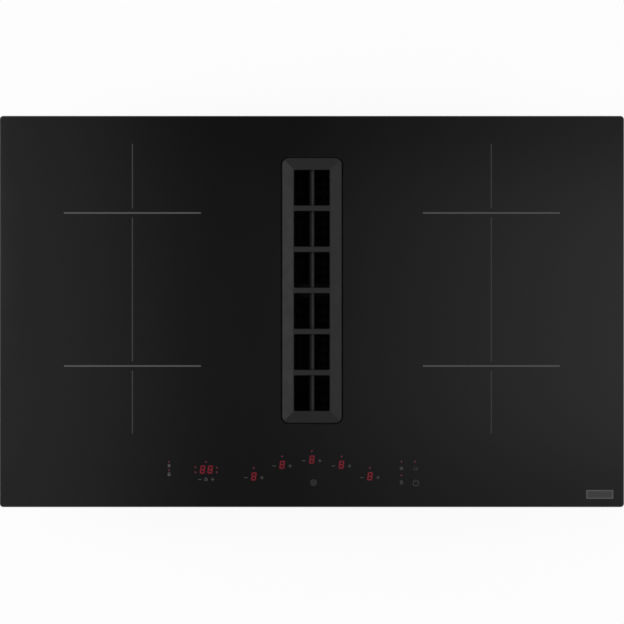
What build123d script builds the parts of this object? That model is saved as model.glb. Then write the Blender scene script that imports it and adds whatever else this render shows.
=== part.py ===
from build123d import *

import math
import os

# Downdraft induction cooktop, in millimetres. X runs along its width, -Y faces the cook, +Z is up.
# The origin is the middle of the glass, in the plane of the worktop that the rim seal rests on:
# what lies below zero hangs in the cabinet.

# Glass plate and its rim seal
glass_width = 830.0
glass_depth = 520.0
glass_thickness = 4.0
glass_corner_radius = 5.0
glass_bevel = 1.2
opening_bevel = 0.5
rim_seal_thickness = 1.5
rim_seal_width = 8.0
rim_seal_inset = 2.5
side_overhang = 23.0
end_overhang = 24.0

# Intake grille, a casting with as many square cells as fit between its margins from the glass edges
grille_rear_margin = 72.25
grille_front_margin = 124.0
cell_size = 47.2
cell_corner_radius = 1.6
cell_chamfer = 0.6
bar_width = 7.3
grille_rim = 16.2
grille_land = 1.4
grille_corner_radius = 8.8
grille_gap = 1.6
grille_rise = 5.5
grille_edge_rise = 2.0
grille_edge_chamfer = 0.8
grille_edge_angle = 45.0
grille_rib_width = 7.3
grille_rib_depth = 11.0
grille_rib_drop = 6.0
grille_rib_seat = 6.0
grille_rib_crest = 1.5
grille_foot_width = 3.0
grille_foot_length = 14.0
grille_foot_height = 1.0
grille_foot_margin = 0.4
grille_foot_end_distance = 40.0

# Collar, seal and duct under the glass opening
least_corner_radius = 2.0
collar_sheet = 1.5
collar_flange = 10.0
collar_seal_thickness = 1.0
collar_seal_width = 8.5
grille_ledge = 5.4
filter_ledge = 4.0
filter_ledge_depth = 14.5
neck_length = 16.5
duct_seal_gap = 1.5
duct_seal_height = 4.0
duct_sheet = 1.5
duct_overlap = 8.0
duct_flange = 5.5
duct_reach = 6.0
duct_hole_clearance = 0.5

# Grease filter, a trough with two sloping mesh panels
filter_clearance = 0.5
filter_sheet = 1.0
filter_wall_height = 12.0
filter_slope_depth = 34.0
filter_keel_width = 6.0
mesh_border = 5.0
mesh_seat = 5.0
mesh_sheet = 1.0
mesh_rows = 24
mesh_columns = 2
mesh_slot_width = 5.0
mesh_web = 6.0
grip_length = 18.0
grip_thickness = 2.5
grip_top_gap = 4.5
grip_fall = 9.0

# Drip tray at the bottom of the collector
tray_clearance = 1.5
tray_lip = 1.5
tray_lip_height = 2.5
tray_height = 36.0
tray_wall = 2.0
tray_draft = 2.0
tray_seat_height = 2.0
tray_seat_width = 5.0
tray_seat_spacing = 120.0
tray_rib = 3.0
tray_grip_width = 34.0
tray_grip_height = 16.0
tray_grip_radius = 8.0

# Sheet-steel body tray
body_height = 56.0
body_sheet = 1.0
body_corner_radius = 12.0
body_bend_radius = 3.0
body_flange = 7.0
vent_slot_width = 4.0
vent_pitch = 8.0
fan_vent_count = 6
outlet_vent_length = 70.0
outlet_vent_count = 12
outlet_vent_margin = 130.0
outlet_vent_y = -120.0
side_vent_height = 20.0
side_vent_count = 12
side_vent_y = -60.0
side_vent_rise = 16.0
standoff_radius = 3.0
standoff_height = 5.0
bead_depth = 1.2
bead_width = 10.0
bead_margin = 20.0
bead_distance = 40.0
bead_bevel = 0.5

# Collector under the duct, and the blower casing beside it
unit_depth = 208.0
collector_clearance = 1.0
collector_wall = 3.0
collector_flange = 10.0
collector_flange_thickness = 3.0
collector_bottom_radius = 5.0
collector_screw_inset = 26.75
collector_rib_count = 5
collector_rib_inset = 46.75
collector_rib_rise = 8.0
collector_end_rib_x = 20.0
rib_depth = 4.0
rib_thickness = 2.0
rib_root = 1.0
blower_y = 0.0
blower_gap = 3.0
casing_wall = 2.5
casing_floor = 3.0
casing_flange = 8.0
casing_flange_thickness = 2.5
casing_screw_angles = (100, 150, 205, 250, 300, 350)
casing_rib_angles = (125, 228, 275, 325)
casing_boss_radius = 3.8
casing_boss_height = 12.0
casing_boss_roof = 2.0
scroll_throat_radius = 92.0
scroll_growth = 12.0
tongue_angle = 60.0
outlet_width = 222.0
outlet_height = 89.0
outlet_wall = 2.5
outlet_mouth_y = 185.0
outlet_insert = 10.0
outlet_length = 50.0
outlet_flange = 3.0
hood_radius = 95.0
hood_wall = 2.5
hood_flange = 9.0
hood_screw_angles = (-70, -25, 20, 50)
bellmouth_radius = 60.0
bellmouth_lip = 2.0
bellmouth_depth = 8.0
bellmouth_angle = 45.0
bush_height = 4.0
bush_radius = 7.0
bush_distance = 55.0

# Impeller and its external-rotor motor
blade_count = 36
blade_inner_radius = 65.0
blade_outer_radius = 79.0
blade_mid_lead = 1.8
blade_lead = 9.0
blade_thickness = 1.3
blade_top_gap = 5.0
impeller_floor_gap = 5.5
backplate_thickness = 2.5
top_ring_width = 3.5
top_ring_height = 4.5
hub_wall = 2.5
hub_round = 3.5
rotor_radius = 38.0
rotor_wall = 3.5
rotor_height = 40.0
rotor_rise = 0.5
stator_gap = 0.8
stator_height = 24.0
stator_lift = 8.0
motor_foot_radius = 42.0
motor_foot_height = 3.0
motor_screw_distance = 30.0
motor_screw_count = 4
motor_screw_seat = 0.6
bearing_tube_radius = 9.0
bearing_tube_top_gap = 2.0
shaft_radius = 4.0
shaft_fit = 0.05
shaft_floor_gap = 1.0

# Induction coils, two in a row on each side
zone_side_margin = 54.4
zone_front_margin = 6.6
zone_rear_margin = 6.1
zone_gap = 17.3
mica_thickness = 0.5
winding_thickness = 4.0
winding_gap_outer_radius = 57.0
winding_gap_inner_radius = 50.0
winding_inner_radius = 24.0
former_thickness = 3.0
former_rim = 2.0
former_spoke_width = 16.0
former_spoke_count = 8
former_hub_radius = 20.0
ferrite_end_margin = 9.0
ferrite_width = 14.0
ferrite_thickness = 5.0
ferrite_start_radius = 32.0
sensor_radius = 7.0
sensor_head_radius = 10.0
sensor_head_height = 2.0
sensor_clearance = 0.5
carrier_sheet = 1.5
carrier_inner_x = 58.0
carrier_clearance = 6.0
carrier_edge = 6.0
carrier_hole_radius = 18.0
post_radius = 6.0
post_pin_radius = 3.0
post_pin_height = 3.0
post_margin_x = 24.0
post_margin_y = 26.0
spring_height = 6.0
spring_outer_radius = 5.5
spring_inner_radius = 3.5

# Power electronics on each side
board_sheet = 1.6
board_fan_gap = 8.0
board_width = 160.0
board_length = 260.0
board_rear_margin = 46.0
standoff_margin = 6.0
heatsink_width = 104.0
heatsink_length = 80.0
heatsink_height = 26.0
heatsink_base = 4.0
heatsink_fin = 1.6
heatsink_fin_count = 9
fan_side_margin = 52.0
fan_rear_margin = 96.0
fan_size = 80.0
fan_height = 25.0
fan_wall = 2.0
fan_corner_radius = 8.0
fan_chamber_radius = 37.0
fan_inlet_radius = 24.0
fan_outlet_length = 42.0
fan_rotor_radius = 34.0
fan_blade_count = 15
fan_blade_length = 10.0
fan_blade_thickness = 1.2
fan_hub_radius = 14.0
fan_rotor_gap = 1.5
fan_plate_thickness = 1.5
fan_pin_radius = 1.5
fan_pin_length = 10.0

# Control unit behind the front edge of the glass
control_x = -22.0
control_width = 384.0
control_depth = 54.0
control_clearance = 4.0
control_board_drop = 7.5
control_board_margin = 3.0
display_height = 6.5
display_width = 9.0
display_length = 14.0
touch_pad_size = 7.0
holder_sheet = 3.0
holder_leg = 9.0
holder_leg_margin = 16.0

# Mains terminal box under the body tray
terminal_x = -205.0
terminal_rear_margin = 22.0
terminal_depth = 64.0
terminal_width = 92.0
terminal_height = 30.0
terminal_wall = 2.5
terminal_corner_radius = 5.0
terminal_block_width = 60.0
terminal_block_depth = 22.0
terminal_block_height = 14.0
terminal_block_step = 5.0
terminal_pole_count = 5
terminal_pole_radius = 3.0
gland_bore_radius = 7.0
gland_thread_radius = 9.8
gland_thread_clearance = 0.2
gland_collar_radius = 13.0
gland_collar_length = 5.0
gland_cap_radius = 12.0
gland_cap_length = 15.0
gland_cap_round = 3.0
gland_nut_length = 5.0

# Swivel clamps that grip the worktop from below
clamp_side_margin = 16.0
clamp_end_margin = 31.0
clamp_width = 16.0
clamp_reach = 34.0
clamp_thickness = 3.0
clamp_tab_height = 3.0
clamp_drop = 4.0
clamp_play = 0.15
clamp_hole_fit = 0.08
clamp_pin_radius = 3.0
clamp_head_radius = 6.0
clamp_head_height = 3.2
clamp_nut_height = 4.0

# Screws
screw_radius = 2.0
screw_clearance = 0.2
screw_head_radius = 3.6
screw_head_height = 2.4
screw_tail = 3.0

# Smallest length told apart
least_gap = 0.01

# Heights
glass_bottom = rim_seal_thickness
glass_top = glass_bottom + glass_thickness
grille_seat = glass_bottom - collar_seal_thickness
grille_bottom = grille_seat + grille_foot_height
grille_edge_top = glass_top + grille_edge_rise
grille_top = glass_top + grille_rise
filter_seat = grille_seat - filter_ledge_depth
filter_wall_bottom = filter_seat - filter_wall_height
filter_bottom = filter_wall_bottom - filter_slope_depth
neck_bottom = filter_seat - neck_length
rib_top = grille_top - grille_rib_drop
rib_bottom = rib_top - grille_rib_depth
body_bottom = -body_height
body_floor = body_bottom + body_sheet
duct_top = neck_bottom + duct_overlap
duct_bottom = body_bottom - duct_reach
base_z = -unit_depth
tray_floor = base_z + collector_wall + tray_seat_height
tray_top = tray_floor + tray_height
chamber_floor = base_z + casing_floor
chamber_ceiling = chamber_floor + outlet_height
casing_roof = chamber_ceiling + casing_floor
casing_split = (chamber_floor + chamber_ceiling) / 2
hood_top = body_bottom - bush_height
winding_top = glass_bottom - mica_thickness
winding_bottom = winding_top - winding_thickness
former_bottom = winding_bottom - former_thickness
ferrite_bottom = former_bottom - ferrite_thickness
carrier_bottom = ferrite_bottom - carrier_sheet
board_bottom = body_floor + standoff_height
board_top = board_bottom + board_sheet
fan_top = body_floor + fan_height
control_board_top = glass_bottom - control_board_drop
holder_top = control_board_top - board_sheet
clamp_top = body_bottom - clamp_drop

# Widths and lengths that follow from the grille
cell_pitch = cell_size + bar_width
cell_count = int((glass_depth - grille_rear_margin - grille_front_margin + bar_width) // cell_pitch)
cells_length = cell_count * cell_pitch - bar_width
intake_y = glass_depth / 2 - grille_rear_margin - cells_length / 2
grille_width = cell_size + 2 * grille_rim
grille_length = cells_length + 2 * grille_rim
opening_width = grille_width + 2 * grille_gap
opening_length = grille_length + 2 * grille_gap
opening_corner_radius = grille_corner_radius + grille_gap

# Walls of the air path, as distances inward from the edge of the glass opening
shaft_inset = grille_ledge
neck_inset = shaft_inset + filter_ledge
filter_inset = neck_inset + filter_clearance
tray_inset = neck_inset + tray_clearance
duct_inset = neck_inset - collar_sheet - duct_seal_gap
duct_outer_inset = duct_inset - duct_sheet
body_hole_inset = duct_outer_inset - duct_hole_clearance
collector_inset = duct_outer_inset - collector_clearance
collector_outer_inset = collector_inset - collector_wall
collector_side = opening_width / 2 - collector_outer_inset
collector_end = opening_length / 2 - collector_outer_inset
filter_half_width = opening_width / 2 - filter_inset

# Places inside the body tray, from its walls inward
body_width = glass_width - 2 * side_overhang
body_depth = glass_depth - 2 * end_overhang
clamp_x = body_width / 2 - clamp_side_margin
clamp_y = body_depth / 2 - clamp_end_margin
fan_x = body_width / 2 - fan_side_margin
fan_y = body_depth / 2 - fan_rear_margin
board_x = fan_x - (fan_size + board_width) / 2 - board_fan_gap
board_rear_y = body_depth / 2 - board_rear_margin
board_front_y = board_rear_y - board_length
terminal_rear_y = body_depth / 2 - terminal_rear_margin
terminal_front_y = terminal_rear_y - terminal_depth
control_front_y = control_clearance - body_depth / 2
control_rear_y = control_front_y + control_depth
carrier_outer_x = body_width / 2 - carrier_clearance
carrier_front_y = control_rear_y + carrier_clearance
carrier_rear_y = body_depth / 2 - carrier_clearance

# Two coils fill the length of each carrier
coils_length = carrier_rear_y - carrier_front_y - zone_front_margin - zone_rear_margin
mica_radius = (coils_length - zone_gap) / 4
winding_outer_radius = mica_radius - former_rim
ferrite_length = winding_outer_radius - ferrite_start_radius - ferrite_end_margin
zone_x = carrier_outer_x - zone_side_margin - mica_radius
zone_front_y = carrier_front_y + zone_front_margin + mica_radius
zone_rear_y = zone_front_y + 2 * mica_radius + zone_gap

# Scroll of the blower, four quarter arcs whose radius grows by one step each
scroll_offset = scroll_growth / 2
scroll_centres = (
    (-scroll_offset, scroll_offset),
    (-scroll_offset, -scroll_offset),
    (scroll_offset, -scroll_offset),
    (scroll_offset, scroll_offset),
)
scroll_radii = [scroll_throat_radius + quarter * scroll_growth for quarter in range(4)]
scroll_side = scroll_offset + scroll_radii[3]
blower_x = (
    collector_side + blower_gap + casing_flange + casing_wall + scroll_offset + scroll_radii[1]
)
outlet_x = blower_x + scroll_side - outlet_width / 2
impeller_bottom = chamber_floor + impeller_floor_gap
impeller_top = chamber_ceiling - blade_top_gap
rotor_bottom = impeller_bottom + rotor_rise
rotor_top = rotor_bottom + rotor_height

# Places of the digits and keys along X, and back from the front edge of the control unit
display_places = (
    (-145.2, 22.0),
    (-135.1, 22.0),
    (-77.1, 12.9),
    (-39.5, 28.4),
    (0.0, 35.3),
    (39.5, 28.4),
    (77.1, 12.9),
)
touch_places = (
    (-189.7, 26.0),
    (-155.0, 9.0),
    (-125.0, 9.0),
    (-88.0, 11.2),
    (-66.0, 11.2),
    (-50.5, 26.8),
    (-28.5, 26.8),
    (-11.0, 33.8),
    (11.0, 33.8),
    (28.5, 26.8),
    (50.5, 26.8),
    (66.0, 11.2),
    (88.0, 11.2),
    (2.3, 4.7),
    (119.0, 4.7),
    (138.3, 4.3),
)


def prism(plan, bottom, top, x=0.0, y=0.0):
    """Upright prism of a plan between two heights."""
    return Pos(x, y, bottom) * extrude(plan, top - bottom)


def disc(radius, bottom, top, x=0.0, y=0.0):
    """Upright round disc or rod."""
    return prism(Circle(radius), bottom, top, x, y)


def ring(outer_radius, inner_radius, bottom, top, x=0.0, y=0.0):
    """Upright round sleeve."""
    return prism(Circle(outer_radius) - Circle(inner_radius), bottom, top, x, y)


def block(left, right, front, rear, bottom, top):
    """Rectangular block between six planes."""
    plan = Rectangle(right - left, rear - front)
    return prism(plan, bottom, top, (left + right) / 2, (front + rear) / 2)


def intake_plan(inset):
    """Outline of the glass opening, moved inward by the inset."""
    radius = max(opening_corner_radius - inset, least_corner_radius)
    return RectangleRounded(opening_width - 2 * inset, opening_length - 2 * inset, radius)


def intake_prism(inset, bottom, top):
    """Prism on the outline of the glass opening, moved inward by the inset."""
    return prism(intake_plan(inset), bottom, top, y=intake_y)


def intake_sleeve(outer_inset, inner_inset, bottom, top):
    """Wall between two insets of the glass opening's outline."""
    return intake_prism(outer_inset, bottom, top) - intake_prism(inner_inset, bottom, top)


def top_edges_within(solid, width, length):
    """Edges of the highest level that lie on or inside a rectangle about the intake's middle."""
    reach_x = width / 2 + least_gap
    reach_y = length / 2 + least_gap
    edges = []
    for edge in solid.edges().group_by(Axis.Z)[-1]:
        middle = edge.center()
        if abs(middle.X) <= reach_x and abs(middle.Y - intake_y) <= reach_y:
            edges.append(edge)
    return edges


def group(solids):
    """Separate solids kept in one sub-part."""
    return Compound(children=list(solids))


def screw(x, y, seat, end):
    """Hexagon-headed screw whose head bears on the seat, with its shank towards the end."""
    head_end = seat - math.copysign(screw_head_height, end - seat)
    head = prism(RegularPolygon(screw_head_radius, 6), min(seat, head_end), max(seat, head_end))
    shank = disc(screw_radius, min(seat, end), max(seat, end))
    return Pos(x, y) * (head + shank)


def screw_hole(x, y, bottom, top):
    """Clearance hole for a screw."""
    return disc(screw_radius + screw_clearance, bottom, top, x, y)


# Glass and intake


def glass_plate():
    """Glass with a ground edge and the opening for the intake."""
    outline = RectangleRounded(glass_width, glass_depth, glass_corner_radius)
    plate = prism(outline, glass_bottom, glass_top)
    plate = chamfer(plate.edges().group_by(Axis.Z)[-1], glass_bevel)
    plate -= intake_prism(0, glass_bottom, glass_top)
    return chamfer(top_edges_within(plate, opening_width, opening_length), opening_bevel)


def rim_seal():
    """Foam seal between the glass rim and the worktop."""
    def outline(inset):
        radius = max(glass_corner_radius - inset, least_corner_radius)
        return RectangleRounded(glass_width - 2 * inset, glass_depth - 2 * inset, radius)

    plan = outline(rim_seal_inset) - outline(rim_seal_inset + rim_seal_width)
    return prism(plan, 0, rim_seal_thickness)


def cell_places():
    """Middles of the grille cells along Y."""
    first = intake_y - (cell_count - 1) * cell_pitch / 2
    return [first + index * cell_pitch for index in range(cell_count)]


def grille():
    """Cast grille: a rim that slopes up to the cells with mitred corners, over a long vane."""
    outline = RectangleRounded(grille_width, grille_length, grille_corner_radius)
    edge_bottom = grille_edge_top - grille_edge_chamfer
    edge_height = grille_top - edge_bottom
    rounded = prism(outline, grille_bottom, edge_bottom)
    rounded += Pos(0, 0, edge_bottom) * extrude(outline, edge_height, taper=grille_edge_angle)
    full_plan = Rectangle(grille_width, grille_length)
    land_plan = Rectangle(cell_size + 2 * grille_land, cells_length + 2 * grille_land)
    slope = loft([Pos(0, 0, grille_edge_top) * full_plan, Pos(0, 0, grille_top) * land_plan])
    mitred = prism(full_plan, grille_bottom, grille_edge_top) + slope
    body = Pos(0, intake_y) * (rounded & mitred)

    cell_plan = RectangleRounded(cell_size, cell_size, cell_corner_radius)
    cells = [prism(cell_plan, grille_bottom, grille_top, y=place) for place in cell_places()]
    body -= cells
    body = chamfer(top_edges_within(body, cell_size, cells_length), cell_chamfer)

    rib_rear = intake_y + cells_length / 2 + grille_rib_seat
    rib_front = intake_y - cells_length / 2 - grille_rib_seat
    left = grille_rib_width / 2 + grille_rib_crest
    right = grille_rib_width / 2 - grille_rib_crest
    lower_left = (Align.MAX, Align.MIN)
    lower_right = (Align.MIN, Align.MIN)
    profile = Ellipse(left, grille_rib_depth) & Rectangle(left, grille_rib_depth, align=lower_left)
    profile += Rectangle(right, grille_rib_depth - right, align=lower_right)
    round_edge = Circle(right) & Rectangle(right, right, align=lower_right)
    profile += Pos(0, grille_rib_depth - right) * round_edge
    profile = Pos(grille_rib_crest, rib_bottom) * profile
    rib = Pos(0, rib_rear, 0) * extrude(Plane.XZ * profile, rib_rear - rib_front)
    return body + rib


def grille_feet():
    """Silicone pads under the grille's rim, on the collar's ledge."""
    x = grille_width / 2 - grille_foot_margin - grille_foot_width / 2
    end = grille_length / 2 - grille_foot_end_distance
    plan = RectangleRounded(grille_foot_width, grille_foot_length, grille_foot_width / 2 - grille_foot_margin)
    return group(
        prism(plan, grille_seat, grille_bottom, side * x, intake_y + along)
        for side in (-1, 1)
        for along in (-end, 0, end)
    )


def collar_seal():
    """Seal between the collar's flange and the underside of the glass."""
    outer = -collar_flange
    return intake_sleeve(outer, outer + collar_seal_width, grille_seat, glass_bottom)


def intake_collar():
    """Drawn collar with a flange under the glass, a ledge for the grille and one for the filter."""
    ledge_bottom = grille_seat - collar_sheet
    seat_bottom = filter_seat - collar_sheet
    collar = intake_prism(-collar_flange, ledge_bottom, grille_seat)
    collar += intake_prism(shaft_inset - collar_sheet, seat_bottom, ledge_bottom)
    collar += intake_prism(neck_inset - collar_sheet, neck_bottom, seat_bottom)
    collar -= intake_prism(shaft_inset, filter_seat, grille_seat)
    return collar - intake_prism(neck_inset, neck_bottom, filter_seat)


def duct_seal():
    """Silicone ring between the collar's neck and the duct."""
    bottom = (neck_bottom + duct_top - duct_seal_height) / 2
    return intake_sleeve(duct_inset, neck_inset - collar_sheet, bottom, bottom + duct_seal_height)


def air_duct():
    """Duct through the body tray, with a flange on the tray's floor."""
    duct = intake_prism(duct_outer_inset, duct_bottom, duct_top)
    duct += intake_prism(duct_outer_inset - duct_flange, body_floor, body_floor + duct_sheet)
    return duct - intake_prism(duct_inset, duct_bottom, duct_top)


# Grease filter and drip tray


def filter_profile(inset):
    """Half-open trough section, seen along Y, moved inward by the sheet."""
    side = filter_half_width - inset
    keel = filter_keel_width / 2
    top = filter_seat
    points = (
        (-side, top),
        (-side, filter_wall_bottom),
        (-keel, filter_bottom + inset),
        (keel, filter_bottom + inset),
        (side, filter_wall_bottom),
        (side, top),
    )
    return make_face(Polyline(*points, close=True))


def filter_solid(inset, length):
    """Solid trough of the filter's section, centred on the intake."""
    return Pos(0, intake_y + length / 2, 0) * extrude(Plane.XZ * filter_profile(inset), length)


def filter_slope_plane(side):
    """Plane on the inner face of one sloping wall, with its X axis along the trough."""
    top_x = filter_half_width - filter_sheet
    keel_x = filter_keel_width / 2
    bottom_z = filter_bottom + filter_sheet
    run = top_x - keel_x
    rise = filter_wall_bottom - bottom_z
    middle = (side * (top_x + keel_x) / 2, intake_y, (filter_wall_bottom + bottom_z) / 2)
    return Plane(origin=middle, x_dir=(0, 1, 0), z_dir=(-side * rise, 0, run))


def filter_slope_width():
    """Width of a sloping wall on its inner face."""
    run = filter_half_width - filter_sheet - filter_keel_width / 2
    rise = filter_wall_bottom - filter_bottom - filter_sheet
    return math.hypot(run, rise)


def mesh_length():
    """Length of a mesh panel along the trough."""
    return opening_length - 2 * (filter_inset + filter_sheet + mesh_border)


def mesh_width():
    """Width of a mesh panel down the slope."""
    return filter_slope_width() - mesh_border


def filter_frame():
    """Folded trough with a hanging flange, closed ends and a window in each sloping wall."""
    length = opening_length - 2 * filter_inset
    frame = filter_solid(0, length) - filter_solid(filter_sheet, length - 2 * filter_sheet)
    frame &= intake_prism(filter_inset, filter_bottom, filter_seat)
    window = Rectangle(mesh_length() - 2 * mesh_seat, mesh_width() - mesh_seat)
    for side in (-1, 1):
        frame -= filter_slope_plane(side) * extrude(window, filter_sheet, both=True)
    flange_inset = shaft_inset + filter_clearance
    flange_top = filter_seat + filter_sheet
    return frame + intake_sleeve(flange_inset, filter_inset + filter_sheet, filter_seat, flange_top)


def filter_mesh():
    """Two slotted steel panels on the sloping walls."""
    length = mesh_length()
    width = mesh_width()
    slot_length = (width - (mesh_columns + 1) * mesh_web) / mesh_columns
    row_pitch = (length - mesh_web) / mesh_rows
    slots = GridLocations(row_pitch, slot_length + mesh_web, mesh_rows, mesh_columns)
    sheet = Rectangle(length, width) - slots * Rectangle(mesh_slot_width, slot_length)
    return group(filter_slope_plane(side) * extrude(sheet, mesh_sheet) for side in (-1, 1))


def filter_handle():
    """Arched grip across the middle of the trough."""
    side = filter_half_width - filter_sheet
    top = rib_bottom - grip_top_gap
    foot = top - grip_fall
    lower_foot = foot - grip_thickness
    edges = [
        ThreePointArc((-side, foot), (0, top), (side, foot)),
        Line((side, foot), (side, lower_foot)),
        ThreePointArc((side, lower_foot), (0, top - grip_thickness), (-side, lower_foot)),
        Line((-side, lower_foot), (-side, foot)),
    ]
    profile = make_face(edges)
    return Pos(0, intake_y + grip_length / 2, 0) * extrude(Plane.XZ * profile, grip_length)


def drip_tray():
    """Open tray with drafted walls, a lip and a cross rib that ends in a finger tab."""
    wall_inset = tray_inset + tray_lip
    outer = Pos(0, intake_y, tray_top) * extrude(
        intake_plan(wall_inset), tray_height, dir=(0, 0, -1), taper=tray_draft
    )
    inner = Pos(0, intake_y, tray_top) * extrude(
        intake_plan(wall_inset + tray_wall), tray_height - tray_wall, dir=(0, 0, -1), taper=tray_draft
    )
    lip = intake_prism(tray_inset, tray_top - tray_lip_height, tray_top)
    rib_front = intake_y - tray_rib / 2
    rib_rear = intake_y + tray_rib / 2
    rib = block(-filter_half_width, filter_half_width, rib_front, rib_rear, tray_floor, tray_top)
    tab_plan = RectangleRounded(tray_grip_width, 2 * tray_grip_height, tray_grip_radius)
    tab = Pos(0, rib_rear, tray_top) * extrude(Plane.XZ * tab_plan, tray_rib)
    return outer + lip - inner + (rib & outer) + tab


# Body tray


def vent_slots(x, y, count, length):
    """Row of slots through the floor, each along X, side by side along Y."""
    start = y - (count - 1) * vent_pitch / 2
    slot = prism(Rectangle(length, vent_slot_width), body_bottom, body_floor)
    return [Pos(x, start + index * vent_pitch) * slot for index in range(count)]


def tray_beads(width, length_change, bottom, top):
    """Long slots for the stiffening beads of the floor, three on each side."""
    front = control_front_y + control_depth + bead_margin
    rear = terminal_rear_y - terminal_depth - bead_margin
    plan = SlotOverall(rear - front + length_change, width, rotation=90)
    return [
        prism(plan, bottom, top, side * (blower_x + across * bead_distance), (front + rear) / 2)
        for side in (-1, 1)
        for across in (-1, 0, 1)
    ]


def side_vents(side):
    """Upright slots through one side wall."""
    start = side_vent_y - (side_vent_count - 1) * vent_pitch / 2
    wall = side * (body_width - body_sheet) / 2
    bottom = body_floor + side_vent_rise
    slot = prism(Rectangle(2 * body_sheet, vent_slot_width), bottom, bottom + side_vent_height)
    return [Pos(wall, start + index * vent_pitch) * slot for index in range(side_vent_count)]


def standoff_places(side):
    """Corners of one power board's fixing pattern."""
    reach = board_width / 2 - standoff_margin
    fronts = (board_front_y + standoff_margin, board_rear_y - standoff_margin)
    return [(side * (board_x + across * reach), y) for across in (-1, 1) for y in fronts]


def collector_screw_places():
    """Screws that hold the collector's flange to the body tray."""
    side = collector_side + collector_flange / 2
    end = collector_end + collector_flange / 2
    distance = collector_end - collector_screw_inset
    places = [(0, intake_y - end), (0, intake_y + end)]
    for across in (-1, 1):
        for along in (-distance, distance):
            places.append((across * side, intake_y + along))
    return places


def bush_places():
    """Rubber bushes that carry the blower under the body tray."""
    return [
        (blower_x + across * bush_distance, blower_y + along * bush_distance)
        for across in (-1, 1)
        for along in (-1, 1)
    ]


def clamp_places():
    """Pivots of the worktop clamps as side, end, x and y."""
    return [(side, end, side * clamp_x, end * clamp_y) for side in (-1, 1) for end in (-1, 1)]


def body_tray():
    """Folded steel pan under the glass, with beads, vents, standoffs and the hole for the duct."""
    shell = prism(RectangleRounded(body_width, body_depth, body_corner_radius), body_bottom, glass_bottom)
    shell = fillet(shell.edges().group_by(Axis.Z)[0], body_bend_radius)
    flange_width = body_width + 2 * body_flange
    flange_depth = body_depth + 2 * body_flange
    flange_plan = RectangleRounded(flange_width, flange_depth, body_corner_radius + body_flange)
    shell += prism(flange_plan, glass_bottom - body_sheet, glass_bottom)
    inner_plan = RectangleRounded(
        body_width - 2 * body_sheet, body_depth - 2 * body_sheet, body_corner_radius - body_sheet
    )
    hollow = prism(inner_plan, body_floor, glass_bottom)
    hollow = fillet(hollow.edges().group_by(Axis.Z)[0], body_bend_radius - body_sheet)
    shell -= hollow
    for bead in tray_beads(bead_width, 0, body_bottom - bead_depth, body_bottom):
        shell += chamfer(bead.edges().group_by(Axis.Z)[0], bead_bevel)
    cuts = [intake_prism(body_hole_inset, body_bottom, body_floor)]
    cuts += tray_beads(bead_width - 2 * body_sheet, -2 * body_sheet, body_floor - bead_depth, body_floor)
    for side in (-1, 1):
        standoffs = standoff_places(side)
        shell += [disc(standoff_radius, body_floor, board_bottom, x, y) for x, y in standoffs]
        cuts += vent_slots(side * fan_x, fan_y, fan_vent_count, 2 * fan_inlet_radius)
        outlet_vent_x = side * (body_width / 2 - outlet_vent_margin)
        cuts += vent_slots(outlet_vent_x, outlet_vent_y, outlet_vent_count, outlet_vent_length)
        cuts += side_vents(side)
    for x, y in collector_screw_places() + bush_places():
        cuts.append(screw_hole(x, y, body_bottom, body_floor))
    pin_hole = clamp_pin_radius + screw_clearance
    cuts += [disc(pin_hole, body_bottom, body_floor, x, y) for _, _, x, y in clamp_places()]
    return shell - cuts


# Collector and blower


def collector_ribs(bottom, top):
    """Ribs on the free long side and on both ends of the collector."""
    half = rib_thickness / 2
    reach = collector_end - collector_rib_inset
    spacing = 2 * reach / (collector_rib_count - 1)
    ribs = []
    for index in range(collector_rib_count):
        y = intake_y - reach + index * spacing
        root = rib_root - collector_side
        ribs.append(block(-collector_side - rib_depth, root, y - half, y + half, bottom, top))
    near = collector_end - rib_root
    far = collector_end + rib_depth
    for x in (-collector_end_rib_x, collector_end_rib_x):
        ribs.append(block(x - half, x + half, intake_y - far, intake_y - near, bottom, top))
        ribs.append(block(x - half, x + half, intake_y + near, intake_y + far, bottom, top))
    return ribs


def collector_housing():
    """Moulded collector under the duct: flanged and ribbed, with a window to the blower."""
    housing = intake_prism(collector_outer_inset, base_z, body_bottom)
    housing = fillet(housing.edges().group_by(Axis.Z)[0], collector_bottom_radius)
    flange_bottom = body_bottom - collector_flange_thickness
    housing += intake_prism(collector_outer_inset - collector_flange, flange_bottom, body_bottom)
    housing += collector_ribs(base_z + collector_rib_rise, flange_bottom)
    hollow = intake_prism(collector_inset, base_z + collector_wall, body_bottom)
    housing -= fillet(hollow.edges().group_by(Axis.Z)[0], collector_bottom_radius - collector_wall)
    window_side = hood_radius - hood_wall
    housing -= block(
        0, collector_side, blower_y - window_side, blower_y + window_side, casing_roof, hood_top - hood_wall
    )
    floor = base_z + collector_wall
    inner_side = collector_side - collector_wall
    seats = []
    for place in (-tray_seat_spacing, 0, tray_seat_spacing):
        front = intake_y + place - tray_seat_width / 2
        seats.append(block(-inner_side, inner_side, front, front + tray_seat_width, floor, tray_floor))
    housing += seats
    return housing - [screw_hole(x, y, flange_bottom, body_bottom) for x, y in collector_screw_places()]


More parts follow.
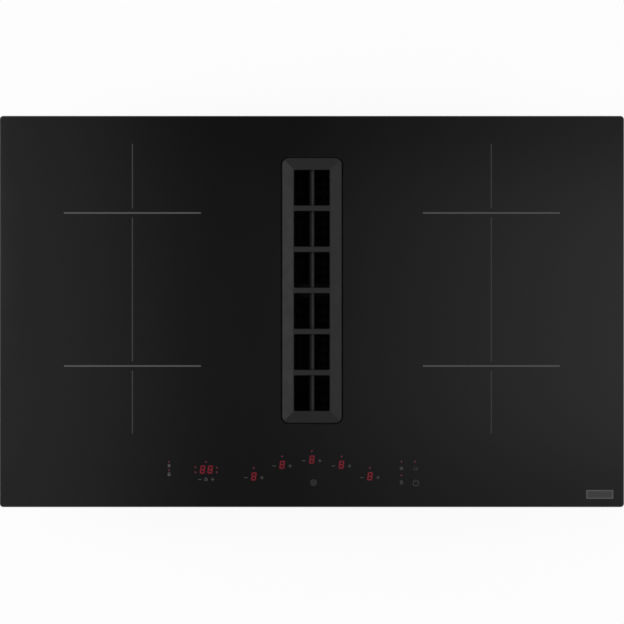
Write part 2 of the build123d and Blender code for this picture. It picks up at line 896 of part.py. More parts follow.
def scroll_plan(grow):
    """Plan of the scroll and its widening outlet, grown outward from the air side of the wall."""
    arcs = [
        CenterArc(scroll_centres[quarter], scroll_radii[quarter], 90 * quarter, 90) for quarter in range(4)
    ]
    throat = (scroll_radii[0] - scroll_offset, scroll_offset)
    side = (scroll_side, scroll_offset)
    spiral = make_face(arcs + [Line(side, throat)])
    tongue = math.radians(tongue_angle)
    tongue_point = (
        scroll_radii[0] * math.cos(tongue) - scroll_offset,
        scroll_radii[0] * math.sin(tongue) + scroll_offset,
    )
    far_corner = (scroll_side, outlet_mouth_y - blower_y)
    near_corner = (scroll_side - outlet_width, outlet_mouth_y - blower_y)
    outlet = make_face(Polyline(throat, side, far_corner, near_corner, tongue_point, close=True))
    if grow > 0:
        spiral = offset(spiral, grow)
        outlet = offset(outlet, grow)
    return Pos(blower_x, blower_y) * (spiral + outlet)


def beyond_mouth():
    """Space past the outlet's mouth."""
    reach = outlet_width
    return block(
        outlet_x - reach, outlet_x + reach, outlet_mouth_y, outlet_mouth_y + reach, base_z, casing_roof
    )


def scroll_hollow(bottom, top):
    """Air space of the scroll between two heights, with a square seat for the spigot."""
    open_mouth = block(
        outlet_x - outlet_width / 2,
        outlet_x + outlet_width / 2,
        outlet_mouth_y - outlet_insert,
        outlet_mouth_y,
        bottom,
        top,
    )
    return prism(scroll_plan(0), bottom, top) + open_mouth


def casing_flange_ring(bottom):
    """Flange along the parting line of the casing."""
    top = bottom + casing_flange_thickness
    return prism(scroll_plan(casing_wall + casing_flange), bottom, top)


def scroll_points(angles, reach):
    """Points outside the air side of the scroll's wall, each with its angle."""
    points = []
    for angle in angles:
        centre_x, centre_y = scroll_centres[angle // 90]
        radius = scroll_radii[angle // 90] + reach
        turn = math.radians(angle)
        x = blower_x + centre_x + radius * math.cos(turn)
        y = blower_y + centre_y + radius * math.sin(turn)
        points.append((x, y, angle))
    return points


def casing_screw_places():
    """Screws along the parting flange, on the arcs of the scroll and beside the outlet."""
    reach = casing_wall + casing_flange / 2
    places = [(x, y) for x, y, _ in scroll_points(casing_screw_angles, reach)]
    places.append((blower_x + scroll_side + reach, (blower_y + outlet_mouth_y) / 2))
    return places


def casing_ribs(bottom, top):
    """Ribs on the outside of the casing's walls."""
    reach = casing_wall + (rib_depth - rib_root) / 2
    rib = prism(Rectangle(rib_depth + rib_root, rib_thickness), bottom, top)
    ribs = [Pos(x, y) * Rot(0, 0, angle) * rib for x, y, angle in scroll_points(casing_rib_angles, reach)]
    side_x = blower_x + scroll_side + reach
    outlet_reach = outlet_mouth_y - blower_y
    ribs.append(Pos(side_x, blower_y + outlet_reach / 4) * rib)
    ribs.append(Pos(side_x, outlet_mouth_y - outlet_reach / 4) * rib)
    return ribs


def motor_screw_places():
    """Screws that hold the motor's foot to the casing floor."""
    turns = [math.radians((index + 0.5) * 360 / motor_screw_count) for index in range(motor_screw_count)]
    return [
        (blower_x + motor_screw_distance * math.cos(turn), blower_y + motor_screw_distance * math.sin(turn))
        for turn in turns
    ]


def motor_screw_top():
    """Height on which the heads of the motor's screws bear, sunk in the casing floor."""
    return chamber_floor - motor_screw_seat


def hood_screw_places():
    """Screws that hold the hood's flange to the casing's roof."""
    radius = hood_radius + hood_flange / 2
    turns = [math.radians(angle) for angle in hood_screw_angles]
    return [(blower_x + radius * math.cos(turn), blower_y + radius * math.sin(turn)) for turn in turns]


def blower_lower_casing():
    """Lower half of the scroll casing with the flat floor."""
    casing = prism(scroll_plan(casing_wall), base_z, casing_split)
    casing += casing_flange_ring(casing_split - casing_flange_thickness)
    casing += casing_ribs(base_z, casing_split - casing_flange_thickness)
    casing -= scroll_hollow(chamber_floor, casing_split)
    casing -= beyond_mouth()
    bottom = casing_split - casing_flange_thickness
    cuts = [screw_hole(x, y, bottom, casing_split) for x, y in casing_screw_places()]
    for x, y in motor_screw_places():
        cuts.append(screw_hole(x, y, base_z, chamber_floor))
        cuts.append(disc(screw_head_radius + screw_clearance, base_z, motor_screw_top(), x, y))
    return casing - cuts


def blower_upper_casing():
    """Upper half of the scroll casing with the inlet bellmouth and the floor of the suction chamber."""
    casing = prism(scroll_plan(casing_wall), casing_split, casing_roof)
    casing += casing_flange_ring(casing_split)
    casing += casing_ribs(casing_split + casing_flange_thickness, casing_roof)
    boss_top = casing_split + casing_boss_height
    casing += [disc(casing_boss_radius, casing_split, boss_top, x, y) for x, y in casing_screw_places()]
    casing += block(
        collector_side,
        blower_x,
        blower_y - hood_radius,
        blower_y + hood_radius,
        chamber_ceiling,
        casing_roof,
    )
    casing -= scroll_hollow(casing_split, chamber_ceiling)
    casing -= beyond_mouth()
    screw_top = boss_top - casing_boss_roof
    casing -= [screw_hole(x, y, casing_split, screw_top) for x, y in casing_screw_places()]
    casing -= [screw_hole(x, y, chamber_ceiling, casing_roof) for x, y in hood_screw_places()]
    lip_bottom = chamber_ceiling - bellmouth_depth
    lip_outer = bellmouth_radius + bellmouth_lip
    casing += disc(lip_outer, lip_bottom, casing_roof, blower_x, blower_y)
    bore = disc(bellmouth_radius, lip_bottom, casing_roof)
    throat = Pos(0, 0, casing_roof) * extrude(
        Circle(bellmouth_radius + casing_floor), casing_floor, dir=(0, 0, -1), taper=bellmouth_angle
    )
    return casing - Pos(blower_x, blower_y) * (bore + throat)


def hood_plan(grow):
    """D-shaped plan of the suction hood, from the collector's wall round the inlet."""
    radius = hood_radius + grow
    straight = Rectangle(blower_x - collector_side, 2 * radius, align=(Align.MAX, Align.CENTER))
    return Pos(blower_x, blower_y) * (straight + Circle(radius))


def suction_hood():
    """Hood over the blower's inlet, open below and towards the collector."""
    hood = prism(hood_plan(0), casing_roof, hood_top)
    hood = fillet(hood.edges().group_by(Axis.Z)[-1].filter_by(GeomType.CIRCLE), hood_wall)
    hood += prism(hood_plan(hood_flange), casing_roof, casing_roof + casing_flange_thickness)
    hood -= prism(hood_plan(-hood_wall), casing_roof, hood_top - hood_wall)
    flange_top = casing_roof + casing_flange_thickness
    cuts = [screw_hole(x, y, casing_roof, flange_top) for x, y in hood_screw_places()]
    cuts += [screw_hole(x, y, hood_top - hood_wall, hood_top) for x, y in bush_places()]
    return hood - cuts


def outlet_spigot():
    """Flat rectangular spigot plugged into the mouth of the casing, with a stop flange."""
    front = outlet_mouth_y - outlet_insert
    rear = outlet_mouth_y + outlet_length
    middle_z = (chamber_floor + chamber_ceiling) / 2

    def duct(grow, start, end):
        radius = max(grow, 0) + least_corner_radius
        plan = RectangleRounded(outlet_width + 2 * grow, outlet_height + 2 * grow, radius)
        return Pos(outlet_x, end, middle_z) * extrude(Plane.XZ * plan, end - start)

    spigot = duct(0, front, rear) + duct(casing_wall, outlet_mouth_y, outlet_mouth_y + outlet_flange)
    return spigot - duct(-outlet_wall, front, rear)


def impeller_blade():
    """One forward-curved blade as a thin crescent, standing on the backplate."""
    back_turn = math.degrees(blade_thickness / blade_outer_radius)

    def at(radius, angle):
        turn = math.radians(angle)
        return (radius * math.cos(turn), radius * math.sin(turn))

    def path(turn):
        middle_radius = (blade_inner_radius + blade_outer_radius) / 2
        return (
            at(blade_inner_radius, turn),
            at(middle_radius, turn + blade_mid_lead),
            at(blade_outer_radius, turn + blade_lead),
        )

    leading = path(0)
    trailing = path(-back_turn)
    plan = make_face(
        [
            ThreePointArc(*leading),
            Line(leading[2], trailing[2]),
            ThreePointArc(*reversed(trailing)),
            Line(trailing[0], leading[0]),
        ]
    )
    return prism(plan, impeller_bottom, impeller_top)


def impeller():
    """Blower wheel: a backplate, a domed hub over the motor, a ring of blades and a top ring."""
    hub_inner = rotor_radius
    hub_outer = rotor_radius + hub_wall
    wheel = ring(blade_outer_radius, hub_inner, impeller_bottom, impeller_bottom + backplate_thickness)
    hub = disc(hub_outer, impeller_bottom, rotor_top + hub_wall)
    hub = fillet(hub.edges().group_by(Axis.Z)[-1], hub_round)
    hub -= disc(hub_inner, impeller_bottom, rotor_top)
    hub -= disc(shaft_radius, rotor_top, rotor_top + hub_wall)
    wheel += hub
    blade = impeller_blade()
    wheel += [Rot(0, 0, index * 360 / blade_count) * blade for index in range(blade_count)]
    wheel += ring(
        blade_outer_radius + top_ring_width / 2,
        blade_outer_radius - top_ring_width / 2,
        impeller_top - top_ring_height,
        impeller_top,
    )
    return Pos(blower_x, blower_y) * wheel


def motor_rotor():
    """Cup of the external-rotor motor."""
    cup = disc(rotor_radius, rotor_bottom, rotor_top)
    cup -= disc(rotor_radius - rotor_wall, rotor_bottom, rotor_top - rotor_wall)
    cup -= disc(shaft_radius, rotor_top - rotor_wall, rotor_top)
    return Pos(blower_x, blower_y) * cup


def motor_shaft():
    """Shaft fixed in the rotor cup and running in the bearing tube."""
    bottom = chamber_floor + shaft_floor_gap
    return disc(shaft_radius, bottom, rotor_top + hub_wall, blower_x, blower_y)


def motor_stator():
    """Foot on the casing floor, bearing tube and wound stack inside the rotor cup."""
    stack_radius = rotor_radius - rotor_wall - stator_gap
    stack_bottom = chamber_floor + motor_foot_height + stator_lift
    tube_top = rotor_top - rotor_wall - bearing_tube_top_gap
    stator = disc(motor_foot_radius, chamber_floor, chamber_floor + motor_foot_height)
    stator += disc(bearing_tube_radius, chamber_floor, tube_top)
    stator += disc(stack_radius, stack_bottom, stack_bottom + stator_height)
    stator -= disc(shaft_radius + shaft_fit, chamber_floor, tube_top)
    stator = Pos(blower_x, blower_y) * stator
    foot_top = chamber_floor + motor_foot_height
    return stator - [screw_hole(x, y, chamber_floor, foot_top) for x, y in motor_screw_places()]


def blower_bushes():
    """Rubber bushes between the hood and the body tray."""
    bore = screw_radius + screw_clearance
    return group(ring(bush_radius, bore, hood_top, body_bottom, x, y) for x, y in bush_places())


def housing_screws():
    """Screws of the collector flange, the casing's halves, the hood, the motor and the bushes."""
    flange_seat = body_bottom - collector_flange_thickness
    casing_seat = casing_split - casing_flange_thickness
    casing_end = casing_split + casing_boss_height - casing_boss_roof - screw_clearance
    hood_seat = hood_top - hood_wall
    end = body_floor + screw_tail
    screws = [screw(x, y, flange_seat, end) for x, y in collector_screw_places()]
    screws += [screw(x, y, casing_seat, casing_end) for x, y in casing_screw_places()]
    screws += [screw(x, y, hood_seat, end) for x, y in bush_places()]
    hood_flange_top = casing_roof + casing_flange_thickness
    screws += [screw(x, y, hood_flange_top, chamber_ceiling) for x, y in hood_screw_places()]
    foot_top = chamber_floor + motor_foot_height
    screws += [screw(x, y, motor_screw_top(), foot_top) for x, y in motor_screw_places()]
    return group(screws)


# Induction coils


def zone_places():
    """Coil centres with the names of their places."""
    return {
        "front_left": (-zone_x, zone_front_y),
        "rear_left": (-zone_x, zone_rear_y),
        "front_right": (zone_x, zone_front_y),
        "rear_right": (zone_x, zone_rear_y),
    }


def mica_sheets():
    """Insulating discs between the windings and the glass."""
    return group(
        ring(mica_radius, sensor_radius + sensor_clearance, winding_top, glass_bottom, x, y)
        for x, y in zone_places().values()
    )


def coil_winding(x, y):
    """Flat winding in two annular packs."""
    return group(
        [
            ring(winding_outer_radius, winding_gap_outer_radius, winding_bottom, winding_top, x, y),
            ring(winding_gap_inner_radius, winding_inner_radius, winding_bottom, winding_top, x, y),
        ]
    )


def coil_former(x, y):
    """Moulded former: rings and spokes under the winding, a hub with the sensor's hole and a rim."""
    plan = Circle(winding_outer_radius + former_rim) - Circle(winding_gap_outer_radius)
    plan += Circle(winding_gap_outer_radius) - Circle(winding_gap_inner_radius)
    plan += Circle(former_hub_radius)
    spoke = Pos(winding_outer_radius / 2, 0) * Rectangle(winding_outer_radius, former_spoke_width)
    plan += [Rot(0, 0, index * 360 / former_spoke_count) * spoke for index in range(former_spoke_count)]
    former = prism(plan, former_bottom, winding_bottom)
    former += ring(
        winding_outer_radius + former_rim, winding_outer_radius, winding_bottom, winding_top - former_rim
    )
    former += disc(former_hub_radius, winding_bottom, winding_top - former_rim)
    former -= disc(sensor_radius + sensor_clearance, former_bottom, winding_top)
    return Pos(x, y) * former


def ferrite_bars():
    """Ferrite bars under the spokes of the formers."""
    middle = ferrite_start_radius + ferrite_length / 2
    bar = prism(Rectangle(ferrite_length, ferrite_width), ferrite_bottom, former_bottom, middle)
    return group(
        Pos(x, y) * (Rot(0, 0, index * 360 / former_spoke_count) * bar)
        for x, y in zone_places().values()
        for index in range(former_spoke_count)
    )


def temperature_sensors():
    """Sensors pressed to the glass in the middle of each coil, each with a flange on the former's hub."""
    hub_top = winding_top - former_rim
    sensor = disc(sensor_radius, former_bottom, glass_bottom)
    sensor += disc(sensor_head_radius, hub_top, hub_top + sensor_head_height - sensor_clearance)
    return group(Pos(x, y) * sensor for x, y in zone_places().values())


def carrier_post_places(side):
    """Posts under the corners of one coil carrier."""
    xs = (carrier_inner_x + post_margin_x, carrier_outer_x - post_margin_x)
    ys = (carrier_front_y + post_margin_y, carrier_rear_y - post_margin_y)
    return [(side * x, y) for x in xs for y in ys]


def coil_carrier(side):
    """Aluminium sheet under two coils, with turned-down long edges."""
    low, high = sorted((side * carrier_inner_x, side * carrier_outer_x))
    sheet = block(low, high, carrier_front_y, carrier_rear_y, carrier_bottom, ferrite_bottom)
    edge_bottom = carrier_bottom - carrier_edge
    sheet += block(low, low + carrier_sheet, carrier_front_y, carrier_rear_y, edge_bottom, carrier_bottom)
    sheet += block(high - carrier_sheet, high, carrier_front_y, carrier_rear_y, edge_bottom, carrier_bottom)
    return sheet - [
        disc(carrier_hole_radius, carrier_bottom, ferrite_bottom, side * zone_x, y)
        for y in (zone_front_y, zone_rear_y)
    ]


def carrier_posts():
    """Posts on the tray's floor with a pin that guides the spring."""
    spring_seat = carrier_bottom - spring_height
    pin_top = spring_seat + post_pin_height
    post = disc(post_radius, body_floor, spring_seat) + disc(post_pin_radius, spring_seat, pin_top)
    return group(Pos(x, y) * post for side in (-1, 1) for x, y in carrier_post_places(side))


def carrier_springs():
    """Spring packs that press the carriers towards the glass."""
    bottom = carrier_bottom - spring_height
    spring = ring(spring_outer_radius, spring_inner_radius, bottom, carrier_bottom)
    return group(Pos(x, y) * spring for side in (-1, 1) for x, y in carrier_post_places(side))


# Electronics


def power_board(side):
    """Power board on its standoffs."""
    middle_y = (board_front_y + board_rear_y) / 2
    plan = Rectangle(board_width, board_rear_y - board_front_y)
    return prism(plan, board_bottom, board_top, side * board_x, middle_y)


def heatsink(side):
    """Extruded comb: a base plate with upright fins that run along X."""
    base = Pos(0, heatsink_base / 2) * Rectangle(heatsink_length, heatsink_base)
    pitch = (heatsink_length - heatsink_fin) / (heatsink_fin_count - 1)
    fin = Pos(0, heatsink_height / 2) * Rectangle(heatsink_fin, heatsink_height)
    comb = base + [place * fin for place in GridLocations(pitch, 0, heatsink_fin_count, 1)]
    outer_x = side * (fan_x - fan_size / 2 - heatsink_base)
    inner_x = outer_x - side * heatsink_width
    return Pos(min(outer_x, inner_x), fan_y, board_top) * extrude(Plane.YZ * comb, heatsink_width)


def cooling_fan_housing(side):
    """Flat radial fan housing, open below to the tray's vents and sideways to the heatsink."""
    housing = prism(RectangleRounded(fan_size, fan_size, fan_corner_radius), body_floor, fan_top)
    floor = body_floor + fan_wall
    ceiling = fan_top - fan_wall
    housing -= disc(fan_chamber_radius, floor, ceiling)
    housing -= disc(fan_inlet_radius, body_floor, floor)
    outlet_half = fan_outlet_length / 2
    low, high = sorted((0, -side * fan_size / 2))
    housing -= block(low, high, -outlet_half, outlet_half, floor, ceiling)
    housing += disc(fan_pin_radius, ceiling - fan_pin_length, ceiling)
    return Pos(side * fan_x, fan_y) * housing


def cooling_fan_rotor(side):
    """Radial fan wheel turning on the housing's pin."""
    top = fan_top - fan_wall - fan_rotor_gap
    bottom = body_floor + fan_wall + fan_rotor_gap
    plate_bottom = top - fan_plate_thickness
    rotor = disc(fan_rotor_radius, plate_bottom, top) + disc(fan_hub_radius, bottom, top)
    blade_middle = fan_rotor_radius - fan_blade_length / 2
    blade = prism(Rectangle(fan_blade_length, fan_blade_thickness), bottom, plate_bottom, blade_middle)
    rotor += [Rot(0, 0, index * 360 / fan_blade_count) * blade for index in range(fan_blade_count)]
    pin_end = fan_top - fan_wall - fan_pin_length
    rotor -= disc(fan_pin_radius + shaft_fit, pin_end - fan_rotor_gap, top)
    return Pos(side * fan_x, fan_y) * rotor


def control_holder():
    """Moulded holder that carries the control board, on legs from the tray's floor."""
    left = control_x - control_width / 2
    right = control_x + control_width / 2
    holder = block(left, right, control_front_y, control_rear_y, holder_top - holder_sheet, holder_top)
    middle_y = (control_front_y + control_rear_y) / 2
    legs = []
    for x in (left + holder_leg_margin, control_x, right - holder_leg_margin):
        plan = Rectangle(holder_leg, holder_leg)
        legs.append(prism(plan, body_floor, holder_top - holder_sheet, x, middle_y))
    return holder + legs


def control_board():
    """Touch control board."""
    margin = control_board_margin
    left = control_x - control_width / 2 + margin
    right = control_x + control_width / 2 - margin
    front = control_front_y + margin
    rear = control_rear_y - margin
    return block(left, right, front, rear, holder_top, control_board_top)


def display_modules():
    """One display block under each lit digit."""
    plan = Rectangle(display_width, display_length)
    top = control_board_top + display_height
    return group(
        prism(plan, control_board_top, top, x, control_front_y + back) for x, back in display_places
    )


def touch_pads():
    """Foam contact pads between the board and the glass, one under each key."""
    plan = Rectangle(touch_pad_size, touch_pad_size)
    return group(
        prism(plan, control_board_top, glass_bottom, x, control_front_y + back) for x, back in touch_places
    )


# Mains connection


def terminal_box():
    """Terminal box under the tray, open below, with the gland's hole in its rear wall."""
    depth = terminal_rear_y - terminal_front_y
    middle_y = (terminal_front_y + terminal_rear_y) / 2
    plan = RectangleRounded(terminal_width, depth, terminal_corner_radius)
    hollow_plan = RectangleRounded(
        terminal_width - 2 * terminal_wall, depth - 2 * terminal_wall, terminal_corner_radius - terminal_wall
    )
    bottom = body_bottom - terminal_height
    box = prism(plan, bottom, body_bottom, terminal_x, middle_y)
    box -= prism(hollow_plan, bottom, body_bottom - terminal_wall, terminal_x, middle_y)
    hole = extrude(Plane.XZ * Circle(gland_thread_radius + gland_thread_clearance), terminal_wall)
    return box - Pos(terminal_x, terminal_rear_y, gland_z()) * hole


def gland_z():
    """Height of the gland's axis."""
    return body_bottom - terminal_height / 2


def terminal_cover():
    """Cover plate that closes the terminal box from below, with a rounded edge."""
    depth = terminal_rear_y - terminal_front_y
    middle_y = (terminal_front_y + terminal_rear_y) / 2
    bottom = body_bottom - terminal_height - terminal_wall
    plan = RectangleRounded(terminal_width, depth, terminal_corner_radius)
    cover = prism(plan, bottom, bottom + terminal_wall, terminal_x, middle_y)
    return fillet(cover.edges().group_by(Axis.Z)[0], terminal_wall / 2)


def terminal_block():
    """Stepped terminal block with one screw pit per pole."""
    top = body_bottom - terminal_wall
    front = terminal_front_y + terminal_wall + terminal_block_step
    rear = front + terminal_block_depth
    bottom = top - terminal_block_height
    half = terminal_block_width / 2
    body = block(terminal_x - half, terminal_x + half, front, rear, bottom, top)
    body -= block(
        terminal_x - half,
        terminal_x + half,
        rear - terminal_block_step,
        rear,
        bottom,
        bottom + terminal_block_step,
    )
    pitch = terminal_block_width / terminal_pole_count
    first = terminal_x - half + pitch / 2
    pit_y = (front + rear - terminal_block_step) / 2
    return body - [
        disc(terminal_pole_radius, bottom, bottom + terminal_block_step, first + index * pitch, pit_y)
        for index in range(terminal_pole_count)
    ]


def cable_gland():
    """Cable gland through the box's rear wall: nut, thread, hexagon collar and rounded cap."""
    inner = terminal_wall + gland_nut_length
    collar_end = gland_collar_length
    cap_end = collar_end + gland_cap_length
    thread = prism(Circle(gland_thread_radius), -inner, collar_end)
    nut = prism(RegularPolygon(gland_collar_radius, 6), -inner, -terminal_wall)
    collar = prism(RegularPolygon(gland_collar_radius, 6), 0, collar_end)
    cap = prism(Circle(gland_cap_radius), collar_end, cap_end)
    cap = fillet(cap.edges().group_by(Axis.Z)[-1], gland_cap_round)
    gland = thread + nut + collar + cap - disc(gland_bore_radius, -inner, cap_end)
    return Pos(terminal_x, terminal_rear_y, gland_z()) * (Rot(-90, 0, 0) * gland)


# Worktop clamps


def worktop_clamp(side, end):
    """Swivel claw below the body tray, stored along the side wall, with a turned-up tip."""
    plan = Pos(0, -clamp_reach / 2) * Rectangle(clamp_width, clamp_reach) + Circle(clamp_width / 2)
    claw = prism(plan, clamp_top - clamp_thickness, clamp_top)
    half = clamp_width / 2
    tip_rear = clamp_thickness - clamp_reach
    claw += block(-half, half, -clamp_reach, tip_rear, clamp_top, clamp_top + clamp_tab_height)
    claw -= disc(clamp_pin_radius + clamp_hole_fit, clamp_top - clamp_thickness, clamp_top)
    turned = claw if end > 0 else Rot(0, 0, 180) * claw
    return Pos(side * clamp_x, end * clamp_y) * turned


def clamp_pivots():
    """Shouldered pivot screws of the clamps, each with its spacer and nut."""
    spacer_bottom = clamp_top + clamp_play
    head_top = clamp_top - clamp_thickness - clamp_play
    pivot = disc(clamp_pin_radius, head_top, body_floor + clamp_nut_height)
    pivot += disc(clamp_head_radius, spacer_bottom, body_bottom)
    pivot += prism(RegularPolygon(clamp_head_radius, 6), head_top - clamp_head_height, head_top)
    pivot += prism(RegularPolygon(clamp_head_radius, 6), body_floor, body_floor + clamp_nut_height)
    return group(Pos(x, y) * pivot for _, _, x, y in clamp_places())


def sub_parts():
    """Every sub-part by name."""
    parts = {
        "glass_plate": glass_plate(),
        "rim_seal": rim_seal(),
        "grille": grille(),
        "grille_feet": grille_feet(),
        "collar_seal": collar_seal(),
        "intake_collar": intake_collar(),
        "duct_seal": duct_seal(),
        "air_duct": air_duct(),
        "filter_frame": filter_frame(),
        "filter_mesh": filter_mesh(),
        "filter_handle": filter_handle(),
        "drip_tray": drip_tray(),
        "body_tray": body_tray(),
        "collector_housing": collector_housing(),
        "blower_lower_casing": blower_lower_casing(),
        "blower_upper_casing": blower_upper_casing(),
        "suction_hood": suction_hood(),
        "outlet_spigot": outlet_spigot(),
        "impeller": impeller(),
        "motor_rotor": motor_rotor(),
        "motor_shaft": motor_shaft(),
        "motor_stator": motor_stator(),
        "blower_bushes": blower_bushes(),
        "housing_screws": housing_screws(),
        "mica_sheets": mica_sheets(),
        "ferrite_bars": ferrite_bars(),
        "temperature_sensors": temperature_sensors(),
        "carrier_posts": carrier_posts(),
        "carrier_springs": carrier_springs(),
        "control_holder": control_holder(),
        "control_board": control_board(),
        "display_modules": display_modules(),
        "touch_pads": touch_pads(),
        "terminal_box": terminal_box(),
        "terminal_cover": terminal_cover(),
        "terminal_block": terminal_block(),
        "cable_gland": cable_gland(),
        "clamp_pivots": clamp_pivots(),
    }
    for place, (x, y) in zone_places().items():
        parts[f"coil_winding_{place}"] = coil_winding(x, y)
        parts[f"coil_former_{place}"] = coil_former(x, y)
    for side, side_name in ((-1, "left"), (1, "right")):
        parts[f"coil_carrier_{side_name}"] = coil_carrier(side)
        parts[f"power_board_{side_name}"] = power_board(side)
        parts[f"heatsink_{side_name}"] = heatsink(side)
        parts[f"cooling_fan_housing_{side_name}"] = cooling_fan_housing(side)
        parts[f"cooling_fan_rotor_{side_name}"] = cooling_fan_rotor(side)
        for end, end_name in ((-1, "front"), (1, "rear")):
            parts[f"clamp_{end_name}_{side_name}"] = worktop_clamp(side, end)
    return parts


os.makedirs("parts", exist_ok=True)
for name, part in sub_parts().items():
    export_step(part, f"parts/{name}.step")
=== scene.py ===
import math

import bmesh
import bpy
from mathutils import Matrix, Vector


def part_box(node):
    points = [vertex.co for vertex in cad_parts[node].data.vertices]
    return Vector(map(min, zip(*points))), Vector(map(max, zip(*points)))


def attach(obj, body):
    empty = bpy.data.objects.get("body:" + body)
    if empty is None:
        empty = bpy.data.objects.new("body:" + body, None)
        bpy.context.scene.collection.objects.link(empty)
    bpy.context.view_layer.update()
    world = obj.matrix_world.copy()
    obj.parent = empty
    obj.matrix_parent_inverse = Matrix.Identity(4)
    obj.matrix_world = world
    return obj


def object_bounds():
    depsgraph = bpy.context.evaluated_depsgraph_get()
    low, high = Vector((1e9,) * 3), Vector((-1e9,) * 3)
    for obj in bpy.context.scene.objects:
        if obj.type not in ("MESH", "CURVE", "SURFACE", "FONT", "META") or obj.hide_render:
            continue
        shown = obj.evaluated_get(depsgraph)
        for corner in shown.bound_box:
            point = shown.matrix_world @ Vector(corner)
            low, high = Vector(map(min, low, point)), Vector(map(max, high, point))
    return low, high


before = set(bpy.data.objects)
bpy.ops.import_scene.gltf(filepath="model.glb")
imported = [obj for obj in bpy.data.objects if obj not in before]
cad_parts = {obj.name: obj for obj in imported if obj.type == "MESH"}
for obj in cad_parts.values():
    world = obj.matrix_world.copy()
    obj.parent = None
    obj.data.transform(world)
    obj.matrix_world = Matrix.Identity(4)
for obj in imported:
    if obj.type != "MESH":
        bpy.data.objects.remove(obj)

CAD_LOW, CAD_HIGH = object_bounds()
MM = 0.001

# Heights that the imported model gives
GLASS_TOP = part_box("glass_plate")[1].z
FLOOR_Z = CAD_LOW.z

# Prints on the glass, in millimetres: how far they go in and stand out
PRINT_SINK = 0.02
PRINT_RISE = 0.03
LIT_RISE = 0.05
WINDOW_RISE = 0.015

# Share of the light that each print gives back
PRINT_TONES = {
    "level": 0.045,
    "upright": 0.009,
    "badge_field": 0.021,
    "badge_border": 0.06,
    "key": 0.021,
    "symbol": 0.043,
    "bright": 0.062,
    "faint": 0.025,
}

# Zone lines and badge place, in millimetres
ZONE_X = 238.4
ZONE_REAR_Y = 130.9
ZONE_FRONT_Y = -72.4
ZONE_LINE_HALF = 91.0
ZONE_LINE_WIDTH = 2.1
ZONE_UPRIGHT_REAR = 222.8
ZONE_UPRIGHT_FRONT = -162.5
ZONE_UPRIGHT_WIDTH = 1.6
ZONE_BREAK = 6.0
BADGE_CENTRE = (382.5, -243.0)
BADGE_SIZE = (36.0, 11.7)
BADGE_BORDER = 1.7
BADGE_GAP = 0.1

# Displays and keys on the glass, in millimetres
DIGIT_HEIGHT = 10.4
DIGIT_WIDTH = 6.2
DIGIT_STROKE = 1.1
DIGIT_GAP = 0.16
DIGIT_SLANT = 0.12
WINDOW_MARGIN = 0.6
LAMP_RADIUS = 1.2
SIGN_STROKE = 0.85
KEY_STROKE = 1.15
KEY_SIZE = 4.6
ROUND_STEPS = 40

TIMER_DIGITS = ((-145.2, -210.0), (-135.1, -210.0))
TIMER_LAMPS = (
    (-140.5, -199.9),
    (-154.7, -207.1),
    (-154.7, -213.6),
    (-126.2, -207.4),
    (-126.2, -213.5),
)
TIMER_KEYS_Y = -223.1
TIMER_MINUS_X = -148.7
TIMER_CLOCK_X = -140.7
TIMER_PLUS_X = -131.9
ZONE_DIGITS = (
    (-77.1, -219.1),
    (-39.5, -203.6),
    (0.0, -196.7),
    (39.4, -203.6),
    (77.2, -218.9),
)
ZONE_LAMP_RISE = 11.1
ZONE_KEY_REACH = 10.7
ZONE_KEY_DROP = 1.6
LEFT_X = -189.7
RIGHT_X = 119.1
FAR_RIGHT_X = 138.2
SIDE_LAMPS = (
    (LEFT_X, -199.9),
    (LEFT_X, -210.6),
    (RIGHT_X, -199.6),
    (RIGHT_X, -217.7),
    (FAR_RIGHT_X - 1.2, -199.6),
)
PAUSE_PLACE = (LEFT_X, -204.9)
PADLOCK_PLACE = (LEFT_X, -215.9)
FILTER_PLACE = (RIGHT_X, -208.4)
WARM_PLACE = (RIGHT_X, -226.8)
PAN_PLACE = (FAR_RIGHT_X - 0.4, -208.7)
POWER_PLACE = (FAR_RIGHT_X, -227.7)
FAN_PLACE = (2.3, -227.3)

# Depths below the grille's top, in millimetres, between which the painted shade of the vane sets
# in
GRILLE_EDGE_DROP = 3.5
GRILLE_VANE_DROP = 6.0

# Web between the blower casing and its spigot, in millimetres
WEB_WIDTH = 14.5
WEB_THICKNESS = 1.6
WEB_CORNER = 3.0
WEB_BEVEL = 0.3
WEB_BEVEL_STEPS = 2

# Colours and glow of the lit displays
DIGIT_RED = (0.138, 0.01, 0.018)
DOT_RED = (0.07, 0.014, 0.019)
WINDOW_RED = (0.02, 0.003, 0.0045)
LENS_GLOW = 0.6
WHITE = (1.0, 1.0, 1.0, 1.0)

# Corners and sides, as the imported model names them
PLACES = ("front_left", "rear_left", "front_right", "rear_right")
SIDES = ("left", "right")


# Shader nodes


def add_node(tree, kind, *inputs, **settings):
    """Adds a node with its settings, and links or sets each input by its socket."""
    made = tree.nodes.new(kind)
    for name, value in settings.items():
        setattr(made, name, value)
    for socket, value in inputs:
        if isinstance(value, bpy.types.NodeSocket):
            tree.links.new(value, made.inputs[socket])
        else:
            made.inputs[socket].default_value = value
    return made


def calculate(tree, operation, first, second=0.0):
    inputs = ((0, first), (1, second))
    return add_node(tree, "ShaderNodeMath", *inputs, operation=operation).outputs[0]


def map_range(tree, value, low, high, from_low, from_high, curve="LINEAR"):
    """Value mapped from one range to another, clamped."""
    inputs = ((0, value), (1, from_low), (2, from_high), (3, low), (4, high))
    return add_node(tree, "ShaderNodeMapRange", *inputs, interpolation_type=curve).outputs[0]


def mix_values(tree, share, first, second):
    inputs = ((0, share), (2, first), (3, second))
    return add_node(tree, "ShaderNodeMix", *inputs).outputs[0]


def mix_colours(tree, share, first, second):
    inputs = ((0, share), (6, first), (7, second))
    return add_node(tree, "ShaderNodeMix", *inputs, data_type="RGBA").outputs[2]


# Materials, with lengths in metres


